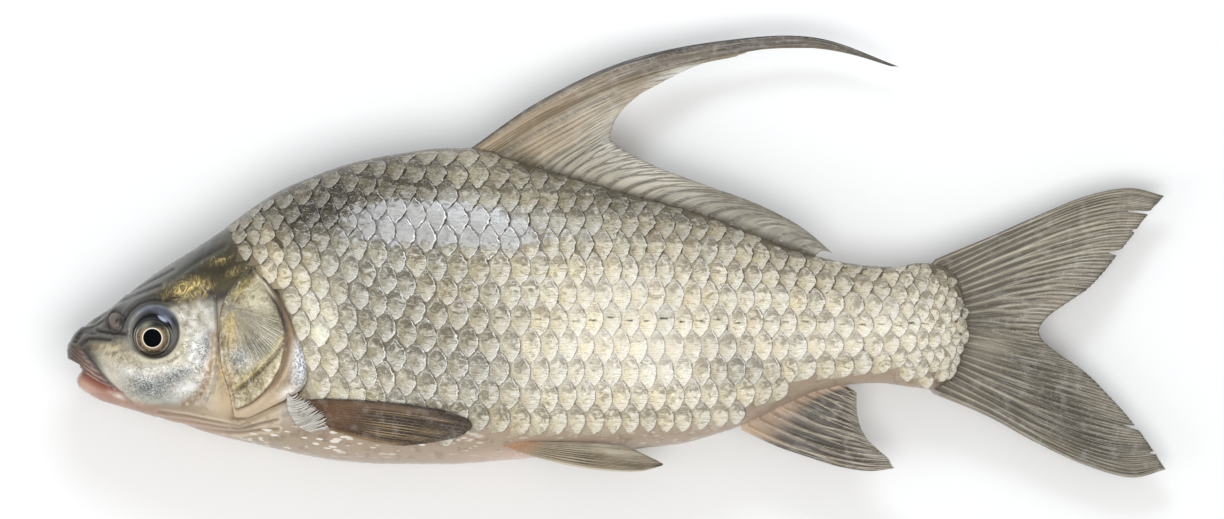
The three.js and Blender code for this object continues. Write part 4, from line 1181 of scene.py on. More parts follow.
def build_scales(name, side):
    """All the scales of one flank as closed leaf-shaped plates. In a plate, p runs forwards from the
    free edge and q across: the edge curves forwards as the square of q and turns in at its ends, the
    height falls forwards until the front is buried under the scale before it, and the underside meets
    the top all round."""
    places = lay_scales()
    count = len(places)
    draw = np.random.default_rng(31 + side)
    loose = 1 + 1.9 * step(places[:, 0], 274, 294) + 1.8 * (1 - step(places[:, 0], 68, 84))
    x0 = places[:, 0] + draw.normal(0, SCATTER["place"], count) * loose
    s0 = places[:, 1] + draw.normal(0, SCATTER["place"], count) * loose
    row = places[:, 2]
    pitch, rows = per_plate(SCALE_PITCH(x0)), per_plate(ROW_PITCH(x0))
    size = 1 + draw.normal(0, SCATTER["size"], count) * loose
    size = per_plate(size * (1 + 0.3 * step(x0, 270, 290)))
    grid_u, grid_p = np.meshgrid(PLATE_U, PLATE_P, indexing="ij")
    bottom, ceiling = (np.interp(x0, TABLE_X, ARC_ENDS[:, k]) for k in (0, 1))
    share = (s0 - bottom) / (ceiling - bottom)
    pointed = per_plate(0.55 * step(share, 0.62, 0.82))
    bend = RIM_BEND * grid_u**2 * (1 - pointed) + RIM_SLANT * np.abs(grid_u) * pointed
    edge = bend + 3.2 * np.maximum(0, np.abs(grid_u) - 0.68)
    v = edge + (PLATE_REACH - edge) * grid_p
    ridge = per_plate(step(ceiling - s0, 1, 9))
    sunk = per_plate(1 - step(share, 0.06, 0.2))
    tilt = per_plate(draw.normal(0, SCATTER["tilt"], count))
    twist = per_plate(draw.normal(0, SCATTER["twist"], count) * loose)
    crowned = 0.16 * (1 - (grid_u / 0.8) ** 2) * (1 - grid_p)
    lift = PLATE_LIFT - PLATE_SLOPE * v + crowned + tilt * grid_u
    lift = lift * (0.35 + 0.65 * ridge) * (1 - 0.4 * sunk)
    fan = per_plate(np.interp(x0, [285, 299], [0, 0.012]) * (s0 + 2))
    at_x = per_plate(x0) - v * pitch * size + twist * grid_u * rows
    at_s = per_plate(s0) + grid_u * rows * size + (twist - fan) * v * pitch
    smooth_back = per_plate(np.interp(x0, [60, 90, 125, 140], [6.5, 5.5, 4, 0]))
    lift = lift - 1.1 * (1 - step(per_plate(ceiling) - at_s, smooth_back - 1.2, smooth_back + 0.8))
    top = on_flank(at_x, at_s, lift, side)
    under = on_flank(at_x, at_s, lift - PLATE_THICK, side)
    cell = grid_u.size
    inner = np.arange(cell).reshape(grid_u.shape)[1:-1, 1:-1].ravel()
    below = np.arange(cell)
    below[inner] = cell + np.arange(len(inner))
    points = np.concatenate([top.reshape(count, cell, 3), under.reshape(count, cell, 3)[:, inner]], axis=1)
    one = quads(*grid_u.shape)
    one = np.concatenate([one, below[one][:, ::-1]])
    stride = cell + len(inner)
    faces = (one[None] + stride * per_plate(np.arange(count))).reshape(-1, 4)
    flat_v, flat_bend = v.reshape(count, cell), np.broadcast_to(bend, v.shape).reshape(count, cell)
    uv = np.stack([np.broadcast_to(grid_u.ravel(), flat_v.shape), flat_v], -1)
    uv = np.concatenate([uv, uv[:, inner]], 1).reshape(-1, 2)
    flat_bend = np.concatenate([flat_bend, flat_bend[:, inner]], 1).ravel()
    luck, hue = draw.uniform(0, 1, count), np.clip(draw.normal(0, SCATTER["hue"], count), -1.2, 1.2)
    middle = on_flank(x0 - SCALE_PITCH(x0) / 2, s0, np.zeros(count), side)
    x, y = middle[:, 0], middle[:, 1]
    colour = scale_paint(x, y, share, luck, hue)
    # how dark each scale's base is: partly pigment, partly painted shade under the scale in front, more
    # beside the gill cover
    near_cover = bell(x - np.interp(y, *np.array(SCALED_FRONT).T), 7) * step(y, -24, -10)
    dark = (
        0.3 + 0.45 * step(share, 0.62, 0.8) - 0.14 * blob(x, y, (190, -4), (34, 18))
        - 0.06 * step(x, 245, 265)
    )
    dark += (
        0.15 * blob(x, y, (112, -4), (22, 22)) + 0.22 * blob(x, y, (78, 10), (9, 22)) + 0.25 * near_cover
    )
    dark = np.clip(dark, 0.12, 0.85)
    reach = 1.03 + 0.3 * step(share, 0.7, 0.9) + draw.normal(0, SCATTER["reach"], count)
    outlined = np.clip(
        0.6 + 0.35 * step(share, 0.55, 0.75) - 0.25 * blob(x, y, (186, -4), (34, 16)), 0, 0.95
    )
    outlined = np.maximum(outlined, 0.9 * blob(x, y, (80, 4), (12, 26)))
    # how pale the lighter copy is that the painted highlight and the pale mottles use
    glow = (
        0.62 - 0.34 * step(share, 0.7, 0.85) * (1 - 0.4 * step(x, 150, 190))
        + 0.1 * blob(x, y, (82, 0), (9, 24))
    )
    # the base's colour: the scale's own colour darkened, partly pigment and partly painted shade
    base_paint = colour * (1 - dark[:, None] * (1 - seen(118, 100, 62)))
    border = 1 - step(y - np.interp(x, *np.array(SCALED_LOW).T), 0.5, 5)
    base_paint = base_paint * (1 - 0.8 * border[:, None]) + seen(170, 152, 130) * 0.8 * border[:, None]
    # white rim lines, partly the pale margin and partly painted highlight, stronger in the painted reflection
    # patch
    rim_light = 0.75 * step(share, 0.16, 0.3) * (1 - step(share, 0.7, 0.82))
    rim_light = rim_light * step(x, 84, 104) * (1 - 0.7 * step(x, 225, 262))
    rim_light = np.clip(rim_light + 0.25 + 0.5 * gloss_film(x, y), 0, 1)
    # how strongly the field's painted shade above and its dark mottles show
    shaded = 0.92 - 0.6 * blob(x, y, (186, -2), (26, 14)) - 0.3 * blob(x, y, (268, 0), (20, 10))
    shaded = np.clip(shaded - 0.45 * blob(x, y, (79, 4), (9, 26)), 0, 1)

    def spread(values):
        return np.repeat(values, stride, axis=0)

    whole_plates = {
        "luck": luck, "rim_light": rim_light, "shaded": shaded, "reach": reach, "outlined": outlined,
        "glow": glow, "pore": (row == 0) * step(x, 100, 130),
    }
    points = points.reshape(-1, 3)
    extra = {key: spread(values) for key, values in whole_plates.items()}
    # where the painted reflection lies
    extra.update(bend=flat_bend, film=gloss_film(points[:, 0], points[:, 1]))
    piece = make_piece(
        name, settle(points), faces, SCALES, paint=spread(colour), uv=uv, extra=extra
    )
    layer = piece.data.attributes.new("base_paint", "FLOAT_COLOR", "POINT")
    layer.data.foreach_set(
        "color", np.concatenate([spread(base_paint), np.ones((count * stride, 1))], 1).ravel()
    )


# ---------------------------------------------------------------- gill covers
FAN_FROM = (54.6, 4.8)


def build_gill_cover(name, side):
    """A thin curved plate between its hinge and its free edge. Its height over the flank grows from
    flush at the hinge to a raised bony edge, falls to the soft membrane outside it, and rolls down at
    the free edge."""
    rows, cols = 130, 100
    hinge, edge = through(COVER_HINGE, rows), through(COVER_EDGE, rows)
    u = np.linspace(0, 1, cols) ** 0.9
    xy = hinge[:, None] * (1 - u[:, None]) + edge[:, None] * u[:, None]
    x, y = xy[..., 0], xy[..., 1]
    small = 0.2
    slope_x = (flank(x + small, y) - flank(x - small, y)) / (2 * small)
    slope_y = (flank(x, y + small) - flank(x, y - small)) / (2 * small)
    normal = np.stack([-slope_x, -slope_y, np.ones_like(x)], -1)
    normal /= np.linalg.norm(normal, axis=-1, keepdims=True)
    v = np.linspace(0, 1, rows)[:, None]
    inset = line_distance(x, y, COVER_EDGE)
    plate_line = through(PLATE_EDGE, 40).tolist()
    bony = inside(x, y, COVER_HINGE[:-1] + plate_line[::-1])
    bone = line_distance(x, y, plate_line) * np.where(bony, 1, -1)
    lift = 0.1 + 1.0 * step(u, 0, 0.8) * step(v, 0, 0.12) * (1 - step(v, 0.93, 1))
    lift = lift - 0.7 * (1 - step(inset, 0, 1.1)) + 0.35 * step(bone, -0.2, 0.5) * step(u, 0.1, 0.4)
    lift += -0.3 * bell(bone + 0.5, 0.5) + 0.25 * bell(bone + 2.0, 0.9)
    lower = line_distance(x, y, LOWER_PLATE)
    lift += -0.55 * bell(lower, 0.6) + 0.4 * blob(x, y, (61, 2), (8, 10))
    lift += (
        0.35 * blob(x, y, (64, -21), (7, 3.4), 35) + 0.08 * ripple(x, y, 14, 2.6)
        + 0.05 * ripple(x, y, 15, 1.1)
    )
    fan = np.arctan2(y - FAN_FROM[1], x - FAN_FROM[0])
    away = np.hypot(x - FAN_FROM[0], y - FAN_FROM[1])
    above_line = np.interp(x, *np.array(LOWER_PLATE).T) < y
    ray = (
        step(bone, 0.5, 2) * above_line * step(away, 2, 4) * (1 - step(away, 15, 23))
        * bell(fan + 0.72, 0.5)
    )
    ray = np.clip(1.3 * ray, 0, 1)
    base = np.stack([x, y, flank(x, y)], -1)
    top = base + normal * lift[..., None]
    under = base + normal * (lift - 0.8 * step(inset, 0, 0.6) - 0.15)[..., None]
    top[..., 2] *= side
    under[..., 2] *= side
    points, faces = closed_sheet(top, under)
    p = Paint(x, y, (186, 174, 142))
    p.spots((214, 188, 126), (0.8, (55, -2), (2.6, 8)), (0.5, (57.5, 11), (4, 2.2), 35))
    p.spots((98, 90, 60), (0.85, (69, 1.6), (2.8, 8), 20))
    p.spots((82, 76, 52), (0.92, (63.4, -7), (6.4, 3.6), -40))
    p.spots((158, 166, 168), (0.9, (57.6, -12), (4, 3.6), 20), (0.25, (66, -9), (3.4, 2.4), 40))
    p.spots((100, 92, 66), (0.7, (63, -8), (3.2, 2.4)), (0.85, (72.8, 6), (1.7, 6), 12))
    p.spots((150, 146, 140), (0.85, (54.4, 5), (3.2, 2.2)))
    p.spots((222, 214, 184), (0.85, (61.6, 7), (3, 3.4), 10), (0.7, (66, 6), (1.6, 5), 25))
    p.coat((104, 100, 60), 0.9 * streak(x, y, [(53, 8.8), (57, 12.4), (61.4, 16.4)], 1.8))
    p.coat((196, 178, 108), 0.7 * streak(x, y, [(56, 9.4), (59.6, 13)], 1.0))
    p.coat((206, 188, 128), 0.8 * bell(lower - 1.3, 0.6) * above_line)
    below = (1 - above_line) * step(bone, 0, 0.6)
    p.coat((182, 168, 132), 0.95 * below)
    p.coat((222, 208, 172), 0.85 * below * bell(bone - 0.8, 0.6))
    p.coat((96, 80, 40), 0.95 * bell(lower, 0.6))
    p.coat((198, 172, 136), 0.95 * (1 - step(u, 0.04, 0.3)) * (1 - step(y, -20, -8)))
    p.coat((90, 72, 48), 0.5 * streak(x, y, [(51, -2), (52.4, -12), (54.6, -21), (56, -27)], 0.4))
    membrane = 1 - step(bone, -0.5, 0.2)
    p.coat((140, 118, 90), membrane)
    p.coat((172, 152, 120), membrane * bell(bone + 2.4, 0.8))
    p.coat((112, 88, 64), 0.8 * membrane * bell(bone + 1.2, 0.6) * step(y, -14, -4))
    p.coat((134, 108, 82), 0.8 * membrane * blob(x, y, (74.4, -5), (1.6, 6), 8))
    p.coat((236, 228, 214), 0.9 * membrane * blob(x, y, (76.2, -12), (0.9, 7), -6))
    p.coat((206, 184, 154), 0.9 * membrane * (1 - step(y, -26, -19)))
    # painted highlight on the membrane at the cover's lower corner
    p.coat((240, 232, 224), 0.9 * membrane * blob(x, y, (73.6, -23), (3.4, 1.8), 30))
    p.coat((214, 218, 224), 0.97 * membrane * blob(x, y, (78, -13), (1.9, 7), -4) ** 0.7)
    p.coat((58, 46, 46), 0.97 * bell(bone + 0.35, 0.75) * step(y, -10, 0))
    p.coat((104, 82, 52), 0.85 * bell(bone + 0.1, 0.55) * (1 - step(y, -10, 0)))
    p.coat((60, 46, 36), 0.8 * bell(inset, 0.6) * step(y, -12, 4))
    p.coat((226, 214, 180), 0.8 * bell(inset - 1.3, 0.5) * step(y, 6, 11))
    p.coat(
        NAPE_BROWN,
        0.8 * (1 - step(v, 0.0, 0.1)) * (1 - step(u, 0.5, 0.9)) + 0.55 * streak(x, y, COVER_HINGE[:4], 0.9),
    )
    shine = step(bone, 0, 1) * step(y, -34, -26) + 0.4 * membrane * step(y, -30, -20)
    specks = 0.9 * membrane * blob(x, y, (77.8, -14), (2.2, 7), -4) ** 0.6 + 0.12 * below
    specks = np.minimum(1, specks + 0.5 * blob(x, y, (57.6, -12), (4, 3.6)))

    fields = {
        "shine": shine, "fan": fan, "ray": ray, "bone": step(bone, -0.3, 0.4), "away": away / 7,
        "speckled": specks,
    }

    def twice(values):
        return np.tile(np.broadcast_to(values, x.shape).ravel(), 2)

    make_piece(
        name, settle(points), faces, COVER_BONE, node=name,
        paint=np.tile(p.colour.reshape(-1, 3), (2, 1)),
        extra={key: twice(values) for key, values in fields.items()},
    )


# ---------------------------------------------------------------- eyes
PUPIL_SHIFT = (-0.3, -0.7)


def build_eye(name, side):
    """The eyeball as rings round the line through the pupil: a sphere with a slight bulge in front of
    it and a low groove where the iris begins. The line is tilted a little down and forwards."""
    rings, around = 90, 120
    theta = np.linspace(0, math.pi, rings + 2)[1:-1]
    turn = math.tau * np.arange(around) / around
    t, w = np.meshgrid(theta, turn, indexing="ij")
    radius = (
        EYE_RADIUS * (1 + 0.035 * bell(t, 0.55) - 0.012 * bell(t - 1.02, 0.05)) - 0.3 * step(t, 1.3, 1.8)
    )
    axis = np.array([*PUPIL_SHIFT, math.sqrt(EYE_RADIUS**2 - PUPIL_SHIFT[0] ** 2 - PUPIL_SHIFT[1] ** 2)])
    axis /= np.linalg.norm(axis)
    across = np.cross(axis, [0, 1, 0])
    across /= np.linalg.norm(across)
    up = np.cross(across, axis)
    ball = (
        axis * (radius * np.cos(t))[..., None]
        + across * (radius * np.sin(t) * np.cos(w))[..., None]
        + up * (radius * np.sin(t) * np.sin(w))[..., None]
    )
    poles = np.array([axis * radius[0, 0], -axis * radius[-1, 0]])
    centre = np.array([EYE[0], EYE[1], float(flank(EYE[0], EYE[1])) - EYE_SUNK])
    points = np.concatenate([ball.reshape(-1, 3), poles]) + centre
    points[:, 2] *= side
    faces = quads(rings, around, wrap=True)
    settled = settle(points)
    first, last = np.arange(around), (rings - 1) * around + np.arange(around)

    from_pupil = np.concatenate(
        [(EYE_RADIUS * np.sin(np.minimum(t, math.pi / 2))).ravel(), [0, EYE_RADIUS]]
    )
    at_x, at_y = points[:, 0] - EYE[0], points[:, 1] - EYE[1]
    make_piece(
        name, settled, faces, EYEBALL, node=name,
        extra={
            "from_pupil": from_pupil,
            "rise": at_y,
            # painted highlights on the eyeball: a greenish gleam at the upper left, a bluish-white glint at
            # the upper right
            "gleam": 0.85 * blob(at_x, at_y, (-2.6, 3.5), (1.9, 0.9), 25),
            "spark": step(blob(at_x, at_y, (3.0, 6.0), (2.3, 0.9), -38), 0.3, 0.7),
        },
        caps=[(len(points) - 2, first), (len(points) - 1, last[::-1])],
    )


# ---------------------------------------------------------------- fins
def along_rays(keys, r, t):
    """Side-view places at share r across a fin and t out: each of the six points of a ray is a smooth
    curve of r through the key rays, and the ray is a Catmull-Rom curve of t through its six points."""
    shares = [k[0] for k in keys]
    grid = np.array([k[1] for k in keys], float)
    count = grid.shape[1]
    rays = np.stack(
        [
            np.stack([smooth_through(list(zip(shares, grid[:, i, q])))(r) for q in (0, 1)], -1)
            for i in range(count)
        ]
    )
    before = 2 * rays[:1] - rays[1:2]
    beyond = 2 * rays[-1:] - rays[-2:-1]
    rays = np.concatenate([before, rays, beyond, beyond])
    at = np.clip(t, 0, 1) * (count - 1)
    i = np.minimum(at.astype(int), count - 2)
    f = (at - i)[..., None]
    columns = np.broadcast_to(np.arange(len(r)), at.shape)
    a, b, c, d = (rays[i + k, columns] for k in range(4))
    return b + 0.5 * f * (c - a + f * (2 * a - 5 * b + 4 * c - d + f * (3 * (b - c) + d - a)))


def ray_ridges(cell, t, branches):
    """How high the bony rays stand, 0 to 1. cell is the share across one ray's strip. The ray is one
    ridge at the root. It forks at each t in branches into two that part until they are evenly
    spaced."""
    centres = [np.full(np.shape(cell), 0.5)]
    spread = 0.25
    for start in branches:
        part = spread * step(t, start, start + 0.3)
        centres = [c + sign * part for c in centres for sign in (-1, 1)]
        spread /= 2
    width = 0.2 - 0.13 * step(t, 0.1, 0.9)
    return np.max([bell(cell - c, width) for c in centres], axis=0)


def build_fin(
    name, keys, count, lift, thick, root, out, fine, colour, cover, node, ragged, wave, lined, seed,
    branches=(0.35, 0.62), side=LEFT, tears=(), strip=4,
):
    """A fin as one closed sheet. Across it the share r counts `count` rays, and t runs out along them from
    under the skin to the margin, which is scalloped, a little ragged and split at the tears (share, depth).
    The half thickness is the web's plus the ridges of the rays, thinning outwards."""
    draw = np.random.default_rng(seed)
    r = np.linspace(0, 1, count * fine + 1)
    t = np.concatenate([[-1, -0.5], np.linspace(0, 1, out) ** 0.92])
    cell = (r * count) % 1
    uneven = np.interp(r * count * 2, np.arange(count * 2 + 1), draw.uniform(-1, 1, count * 2 + 1))
    end = 1 - ragged * (1 - ray_ridges(cell, np.ones_like(r), branches)) - ragged * 0.5 * (1 + uneven)
    for place, depth in tears:
        end = end - depth * np.maximum(0, 1 - np.abs(r - place) * count * 5)
    tt = np.where(t[:, None] > 0, t[:, None] * end[None], t[:, None])
    xy = along_rays(keys, r, tt)
    xy = xy + np.minimum(0, tt)[..., None] * -np.array([root(v) for v in r])[None]
    x, y = xy[..., 0], xy[..., 1]
    fork = ray_ridges(cell[None], np.clip(tt, 0, 1), branches)
    web, bone = thick
    thin = 1 - 0.6 * step(tt, 0, 1)
    edge = step(1 - tt / end[None], 0, 0.02) * 0.6 + 0.4
    sides = np.minimum(1, np.minimum(r, 1 - r) * count * 3)[None] * 0.7 + 0.3
    half = (web + bone * fork) * thin * edge * sides
    strand = (r * count).astype(int)
    swell = wave * np.sin(4.5 * r[None] * math.pi + 2 * tt) * np.clip(tt, 0, 1) ** 1.5
    middle = side * lift(x, y, tt) + swell
    top = np.stack([x, y, middle + half], -1)
    under = np.stack([x, y, middle - half], -1)
    points, faces = closed_sheet(top, under)
    quarter = (r * count * 4).astype(int)
    shade = draw.uniform(-1, 1, count + 1)[strand] + 0.6 * draw.uniform(-1, 1, (count + 1) * 4)[quarter]
    paint = colour(x, y, np.broadcast_to(r[None], x.shape), tt, fork, np.broadcast_to(shade[None], x.shape))
    pieces = np.hypot(*np.moveaxis(np.diff(xy, axis=0), -1, 0))
    length = np.concatenate([np.zeros((1, len(r))), np.cumsum(pieces, axis=0)])
    uv = np.stack([np.broadcast_to(r * count * strip / 4, x.shape), length], -1)
    solid = cover + (1 - cover) * np.clip(fork * 1.2, 0, 1)
    solid = np.where(tt < 0.05, 1, solid)
    make_piece(
        name, settle(points), faces, FIN_WEB, node=node,
        paint=np.tile(paint.reshape(-1, 3), (2, 1)),
        uv=np.tile(uv.reshape(-1, 2), (2, 1)),
        extra={
            key: np.tile(values.ravel(), 2)
            for key, values in {"ray": fork, "cover": solid, "lined": lined * step(tt, 0.03, 0.3)}.items()
        },
    )


def fin_colour(web, line, pale, root_colour, tip_colour):
    """A fin's colour: the web, pale rays with a dark line along each side, and tints at the root and
    tip."""

    def colour(x, y, r, t, fork, shade):
        p = Paint(x, y, web)
        p.coat(line, 0.8 * (1 - step(fork, 0.08, 0.45)) * step(t, 0.02, 0.2))
        p.coat(pale, 0.6 * step(fork, 0.5, 0.95))
        p.coat(root_colour, 0.85 * (1 - step(t, 0.0, 0.24)))
        p.coat(tip_colour, 0.5 * step(t, 0.72, 1))
        return p.colour * (1 + 0.16 * shade[..., None])

    return colour


def dorsal_colour(x, y, r, t, fork, shade):
    """The dorsal fin: dark leading edge, brown front, pale web under the filament, grey rear with dark
    rays."""
    p = Paint(x, y, (176, 169, 150))
    p.coat((182, 163, 134), 0.85 * (1 - step(r, 0.3, 0.46)))
    p.spots((214, 208, 194), (0.8, (186, 62), (16, 9), -30), (0.5, (200, 48), (20, 4), -20))
    p.coat((78, 68, 52), 0.85 * step(fork, 0.3, 0.8) * (0.5 + 0.4 * step(r, 0.3, 0.5)))
    p.spots((136, 112, 82), (0.5, (164, 72), (22, 3), 30))
    p.coat((112, 102, 90), 0.85 * (1 - step(r, 0.05, 0.09)) * step(x, 165, 195))
    p.coat((84, 80, 70), 0.6 * bell(r - 0.03, 0.02) * step(x, 205, 225))
    p.coat((232, 228, 218), 0.97 * blob(x, y, (203, 83.4), (9, 2.2), 22) * step(r, 0.06, 0.09))
    p.coat((52, 46, 44), 0.9 * (1 - step(r, 0.004, 0.02)))
    p.coat((140, 134, 120), 0.6 * step(x, 200, 235) * step(r, 0.3, 0.5))
    p.coat((76, 66, 46), 0.92 * (1 - step(t, 0.0, 0.16)) * step(r, 0.06, 0.3))
    p.coat((82, 74, 62), 0.55 * step(t, 0.9, 1) * step(r, 0.3, 0.5))
    return p.colour * (1 + 0.16 * shade[..., None])


def tail_colour(x, y, r, t, fork, shade):
    """The tail fin: grey-brown with dark streaks, dark at the middle rays' roots and over the lower
    lobe."""
    p = Paint(x, y, (146, 137, 118))
    p.coat((66, 57, 44), 0.75 * (1 - step(fork, 0.05, 0.45)))
    p.coat((184, 177, 160), 0.5 * step(fork, 0.5, 0.95))
    p.coat((80, 72, 58), 0.6 * blob(x, y, (306, 0), (13, 6)) + 0.5 * (1 - step(t, 0, 0.12)))
    p.coat((196, 186, 164), 0.7 * blob(x, y, (308, -8), (7, 4)) * (1 - 0.6 * step(fork, 0.3, 0.8)))
    p.coat((66, 58, 45), 0.8 * blob(x, y, (333, -30), (30, 11), -42) + 0.5 * (1 - step(r, 0.0, 0.03)))
    p.coat((70, 64, 54), 0.5 * step(t, 0.94, 1))
    p.coat((206, 194, 178), 0.55 * (1 - step(np.abs(r - 0.995), 0.0, 0.012)))
    return p.colour * (1 + 0.2 * shade[..., None])


def pectoral_colour(x, y, r, t, fork, shade):
    """The pectoral fin: dark brown rays with pale lines between them, a smooth fleshy root, a tan lower
    edge."""
    p = Paint(x, y, (82, 62, 40))
    rays = step(t, 0.22, 0.48)
    p.coat((34, 26, 18), 0.95 * rays * step(fork, 0.15, 0.6))
    p.coat(
        (200, 178, 138), rays * (1 - step(fork, 0.0, 0.12)) * step(shade, -0.7, 0.9) * step(r, 0.12, 0.3),
    )
    p.coat((150, 126, 98), 0.85 * bell(r - 0.15, 0.09) * (1 - step(t, 0.55, 0.9)))
    p.spots((142, 110, 84), (0.95, (87, -30), (11, 6)))
    p.spots((112, 78, 66), (0.6, (83, -29), (5, 3)))
    p.coat((52, 42, 36), 0.9 * (1 - step(r, 0.01, 0.07)))
    p.coat((178, 148, 112), 0.8 * step(r, 0.82, 0.98) * (1 - step(t, 0.75, 1)))
    p.coat((112, 100, 82), 0.5 * step(t, 0.8, 1))
    return p.colour * (1 + 0.1 * shade[..., None]) * [0.72, 0.66, 0.58]


def pelvic_colour(x, y, r, t, fork, shade):
    """The pelvic fin: a pale beige web, thin dark brown rays, a cream leading edge and a reddish root."""
    p = Paint(x, y, (178, 164, 138))
    p.coat((58, 46, 32), 0.9 * step(fork, 0.3, 0.75) * step(t, 0.05, 0.25))
    p.coat((216, 206, 184), 0.6 * blob(r, t, (0.75, 0.75), (0.2, 0.3)))
    p.coat((224, 212, 188), 0.9 * (1 - step(r, 0.03, 0.1)) * step(t, 0.1, 0.3))
    p.coat((204, 160, 128), 0.85 * (1 - step(t, 0.0, 0.2)))
    p.coat((70, 62, 54), 0.8 * step(t, 0.9, 1) * (1 - step(r, 0.1, 0.3)))
    return p.colour * (1 + 0.12 * shade[..., None])


anal_colour = fin_colour(
    seen(126, 115, 99), seen(62, 52, 42), seen(176, 166, 148), seen(190, 162, 136), seen(158, 150, 136)
)


def above_back(x, y):
    """How high a place stands over the back's edge."""
    return np.maximum(0, y - back(np.minimum(x, BODY_LENGTH)))


def dorsal_lift(x, y, t):
    """The dorsal fin droops as the square of its height over the back."""
    return -DORSAL_SAG * np.minimum(1.2, above_back(x, y) / DORSAL_HEIGHT) ** 2


def pectoral_lift(x, y, t):
    """The pectoral fin lies on the flank, its root sunk into the skin."""
    return flank(x, y) + 1.1 - 3.6 * np.maximum(0, 0.14 - t) / 0.5 + 0.5 * np.maximum(0, t)


def pelvic_lift(x, y, t):
    """The pelvic fin leaves the belly and leans in towards the middle plane as it runs back."""
    return 13.9 - 0.1 * (x - 160) - 0.35 * (-40 - y) - 4.5 * np.maximum(0, 0.2 - t)


def middle_lift(x, y, t):
    """A fin on the middle plane."""
    return 0 * x


def pressed(lift):
    """A lower fin's lift, kept clear of the resting surface."""
    return lambda x, y, t: np.minimum(lift(x, y, t), REST_HALF_WIDTH - 1.15)


def build_fins():
    """The three fins on the middle plane and the four paired ones."""
    build_fin(
        "dorsal_fin_rays", DORSAL_RAYS, 27, dorsal_lift, (0.2, 0.42), lambda r: (1, -5), out=52, fine=15,
        colour=dorsal_colour, cover=0.9, node="dorsal_fin", ragged=0.014, tears=[(0.115, 0.12)], wave=0.6,
        lined=0.7, seed=3,
    )
    build_fin(
        "tail_fin_rays", TAIL_RAYS, 24, middle_lift, (0.28, 0.5), lambda r: (-6, 12 * r - 6), out=64, fine=15,
        branches=(0.25, 0.55), colour=tail_colour, cover=0.96, node="tail_fin", ragged=0.006,
        tears=[(0.146, 0.16), (0.29, 0.08), (0.22, 0.03), (0.77, 0.09), (0.88, 0.04)], wave=1.0, lined=0.95,
        strip=9, seed=5,
    )
    build_fin(
        "anal_fin_rays", ANAL_RAYS, 9, middle_lift, (0.24, 0.45), lambda r: (-1, 4), out=48, fine=22,
        colour=anal_colour, cover=0.96, node="anal_fin", ragged=0.016, wave=0.5, lined=0.9, strip=3.4, seed=7,
    )
    for name, side in SIDES.items():
        hold = (lambda lift: lift) if side == LEFT else pressed
        build_fin(
            f"{name}_pectoral_rays", PECTORAL_RAYS, 16, hold(pectoral_lift), (0.22, 0.34),
            lambda r: (-4, 0.5), out=48, fine=14, branches=(0.45, 0.72), colour=pectoral_colour, cover=1.0,
            side=side, node=f"{name}_pectoral_fin", ragged=0.008, wave=0.15, lined=0.3, strip=1.5, seed=9,
        )
        build_fin(
            f"{name}_pelvic_rays", PELVIC_RAYS, 10, hold(pelvic_lift), (0.22, 0.36), lambda r: (-3.5, 2),
            out=48, fine=20, branches=(0.3, 0.6), colour=pelvic_colour, cover=0.96, side=side,
            node=f"{name}_pelvic_fin", ragged=0.01, wave=0.2, lined=0.5, strip=1.3, seed=11,
        )


def build_frill(name, side):
    """A feathery grey fringe over the pectoral fin's root: blades side by side, each a tapering four-sided
    spindle that leaves a line down the fin's base, bends down and back, and ends on a line of tips."""
    count, steps = 62, 10
    draw = np.random.default_rng(61)
    share = np.clip((np.arange(count) + draw.uniform(-0.4, 0.4, count)) / (count - 1), 0, 1)
    fineness = 200
    near = through([(73.4, -23.6), (73.2, -27), (74.4, -31), (77, -34.6), (80.6, -36.2)], fineness)
    far = through([(76.4, -24.4), (79.6, -26.6), (82.6, -28.6), (85.2, -31), (86.6, -34.4)], fineness)
    pick = (share * (fineness - 1)).astype(int)
    start, tip = near[pick], far[pick] + draw.normal(0, 0.5, (count, 2))
    hang = (
        (start + tip) / 2 + np.array([-0.6, -2.4]) * (1 - share[:, None]) + draw.normal(0, 0.3, (count, 2))
    )
    t = np.linspace(0, 1, steps)[None, :, None]
    path = start[:, None] * (1 - t) ** 2 + 2 * hang[:, None] * t * (1 - t) + tip[:, None] * t**2
    run = np.gradient(path, axis=1)
    across = np.stack([-run[..., 1], run[..., 0]], -1) / np.linalg.norm(run, axis=-1, keepdims=True)
    wide = (0.42 * (1 - t) ** 0.7 + 0.06) * draw.uniform(0.8, 1.2, (count, 1, 1))
    z = (
        flank(path[..., 0], path[..., 1]) + 1.5 + 0.5 * np.sin(math.pi * t[..., 0])
        + draw.uniform(0, 0.3, (count, 1))
    )
    if side == RIGHT:
        z = np.minimum(z, REST_HALF_WIDTH - 0.9)
    rounds = []
    for turn in range(4):
        c, s = math.cos(turn * math.pi / 2), math.sin(turn * math.pi / 2)
        height = z + 0.22 * s * (1 - 0.7 * t[..., 0])
        rounds.append(np.concatenate([path + across * wide * c, height[..., None] * side], -1))
    spindle = np.stack(rounds, 2)
    ends = np.stack([spindle[:, 0].mean(1), spindle[:, -1].mean(1)], 1)
    points = np.concatenate([spindle.reshape(-1, 3), ends.reshape(-1, 3)])
    faces = np.concatenate([quads(steps, 4, k * steps * 4, wrap=True) for k in range(count)])
    caps = []
    for k in range(count):
        first = k * steps * 4 + np.arange(4)
        pole = count * steps * 4 + 2 * k
        caps += [(pole, first), (pole + 1, (first + (steps - 1) * 4)[::-1])]
    tone = draw.uniform(0.7, 1.2, count)
    paint = np.repeat(seen(222, 218, 208) * tone[:, None], steps * 4, axis=0)
    paint = paint * (1 - 0.25 * np.tile(np.repeat(np.sin(math.pi * t[0, :, 0]), 4), count)[:, None])
    paint = np.concatenate([paint, np.repeat(seen(206, 202, 194) * tone[:, None], 2, axis=0)])
    make_piece(name, settle(points), faces, SKIN, paint=paint, caps=caps)


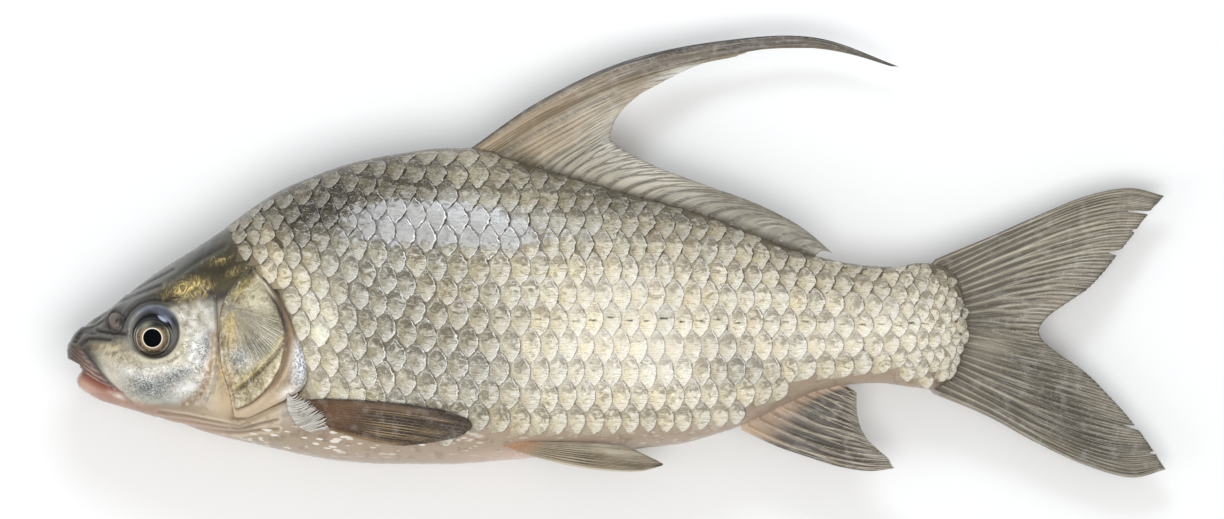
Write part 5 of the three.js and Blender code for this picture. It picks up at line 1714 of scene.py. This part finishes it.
# ---------------------------------------------------------------- stage
def build_stage():
    """A plain pale floor, a bright even sky, soft lamps overhead and the camera straight above the fish."""
    floor = bpy.data.meshes.new("floor")
    wide = 4.0
    floor.from_pydata(
        [(-wide, -wide, 0), (wide, -wide, 0), (wide, wide, 0), (-wide, wide, 0)], [], [(0, 1, 2, 3)]
    )
    floor_object = bpy.data.objects.new("floor", floor)
    bpy.context.scene.collection.objects.link(floor_object)
    pale = Finish("pale_floor", Base_Color=(0.94, 0.94, 0.94, 1), Roughness=0.9)
    floor.materials.append(pale.material)

    world = bpy.data.worlds.new("studio")
    world.use_nodes = True
    world.node_tree.nodes["Background"].inputs["Color"].default_value = (0.98, 0.98, 0.97, 1)
    world.node_tree.nodes["Background"].inputs["Strength"].default_value = 0.5
    bpy.context.scene.world = world
    bpy.context.scene.view_settings.view_transform = "Standard"

    def lamp(name, place, aim, size, power, colour=(1, 1, 1)):
        data = bpy.data.lights.new(name, "AREA")
        data.shape, data.size, data.size_y = "RECTANGLE", size[0], size[1]
        data.energy, data.color = power, colour
        lit = bpy.data.objects.new(name, data)
        lit.location = place
        away = np.array(aim) - np.array(place)
        lit.rotation_euler = Vector(away).to_track_quat("-Z", "Y").to_euler()
        bpy.context.scene.collection.objects.link(lit)

    lamp("overhead", (0.1, -0.35, 1.3), (0, 0, 0), (1.0, 0.7), 8.5)
    lamp("window", (-0.05, 0.62, 0.62), (-0.04, 0.03, 0.03), (0.34, 0.22), 2.0, (0.86, 0.93, 1))
    lamp("fill", (-1.2, -0.4, 0.8), (0, 0, 0), (0.8, 0.8), 3)

    camera = bpy.data.objects.new("camera", bpy.data.cameras.new("camera"))
    far, wide_view = 5000, 408
    centre_x, centre_y = 181, 20.83
    camera.location = settle([centre_x, centre_y, 0])
    camera.location.z = (MIDDLE_Z + far) * MM
    camera.data.sensor_width = 36
    camera.data.lens = 36 * far / wide_view
    camera.data.clip_start, camera.data.clip_end = 1, 10
    bpy.context.scene.collection.objects.link(camera)
    bpy.context.scene.camera = camera


build_body()
for side_name, side_sign in SIDES.items():
    build_scales(f"{side_name}_scales", side_sign)
    build_gill_cover(f"{side_name}_gill_cover", side_sign)
    build_eye(f"{side_name}_eye", side_sign)
    build_frill(f"{side_name}_frill", side_sign)
build_fins()
build_stage()
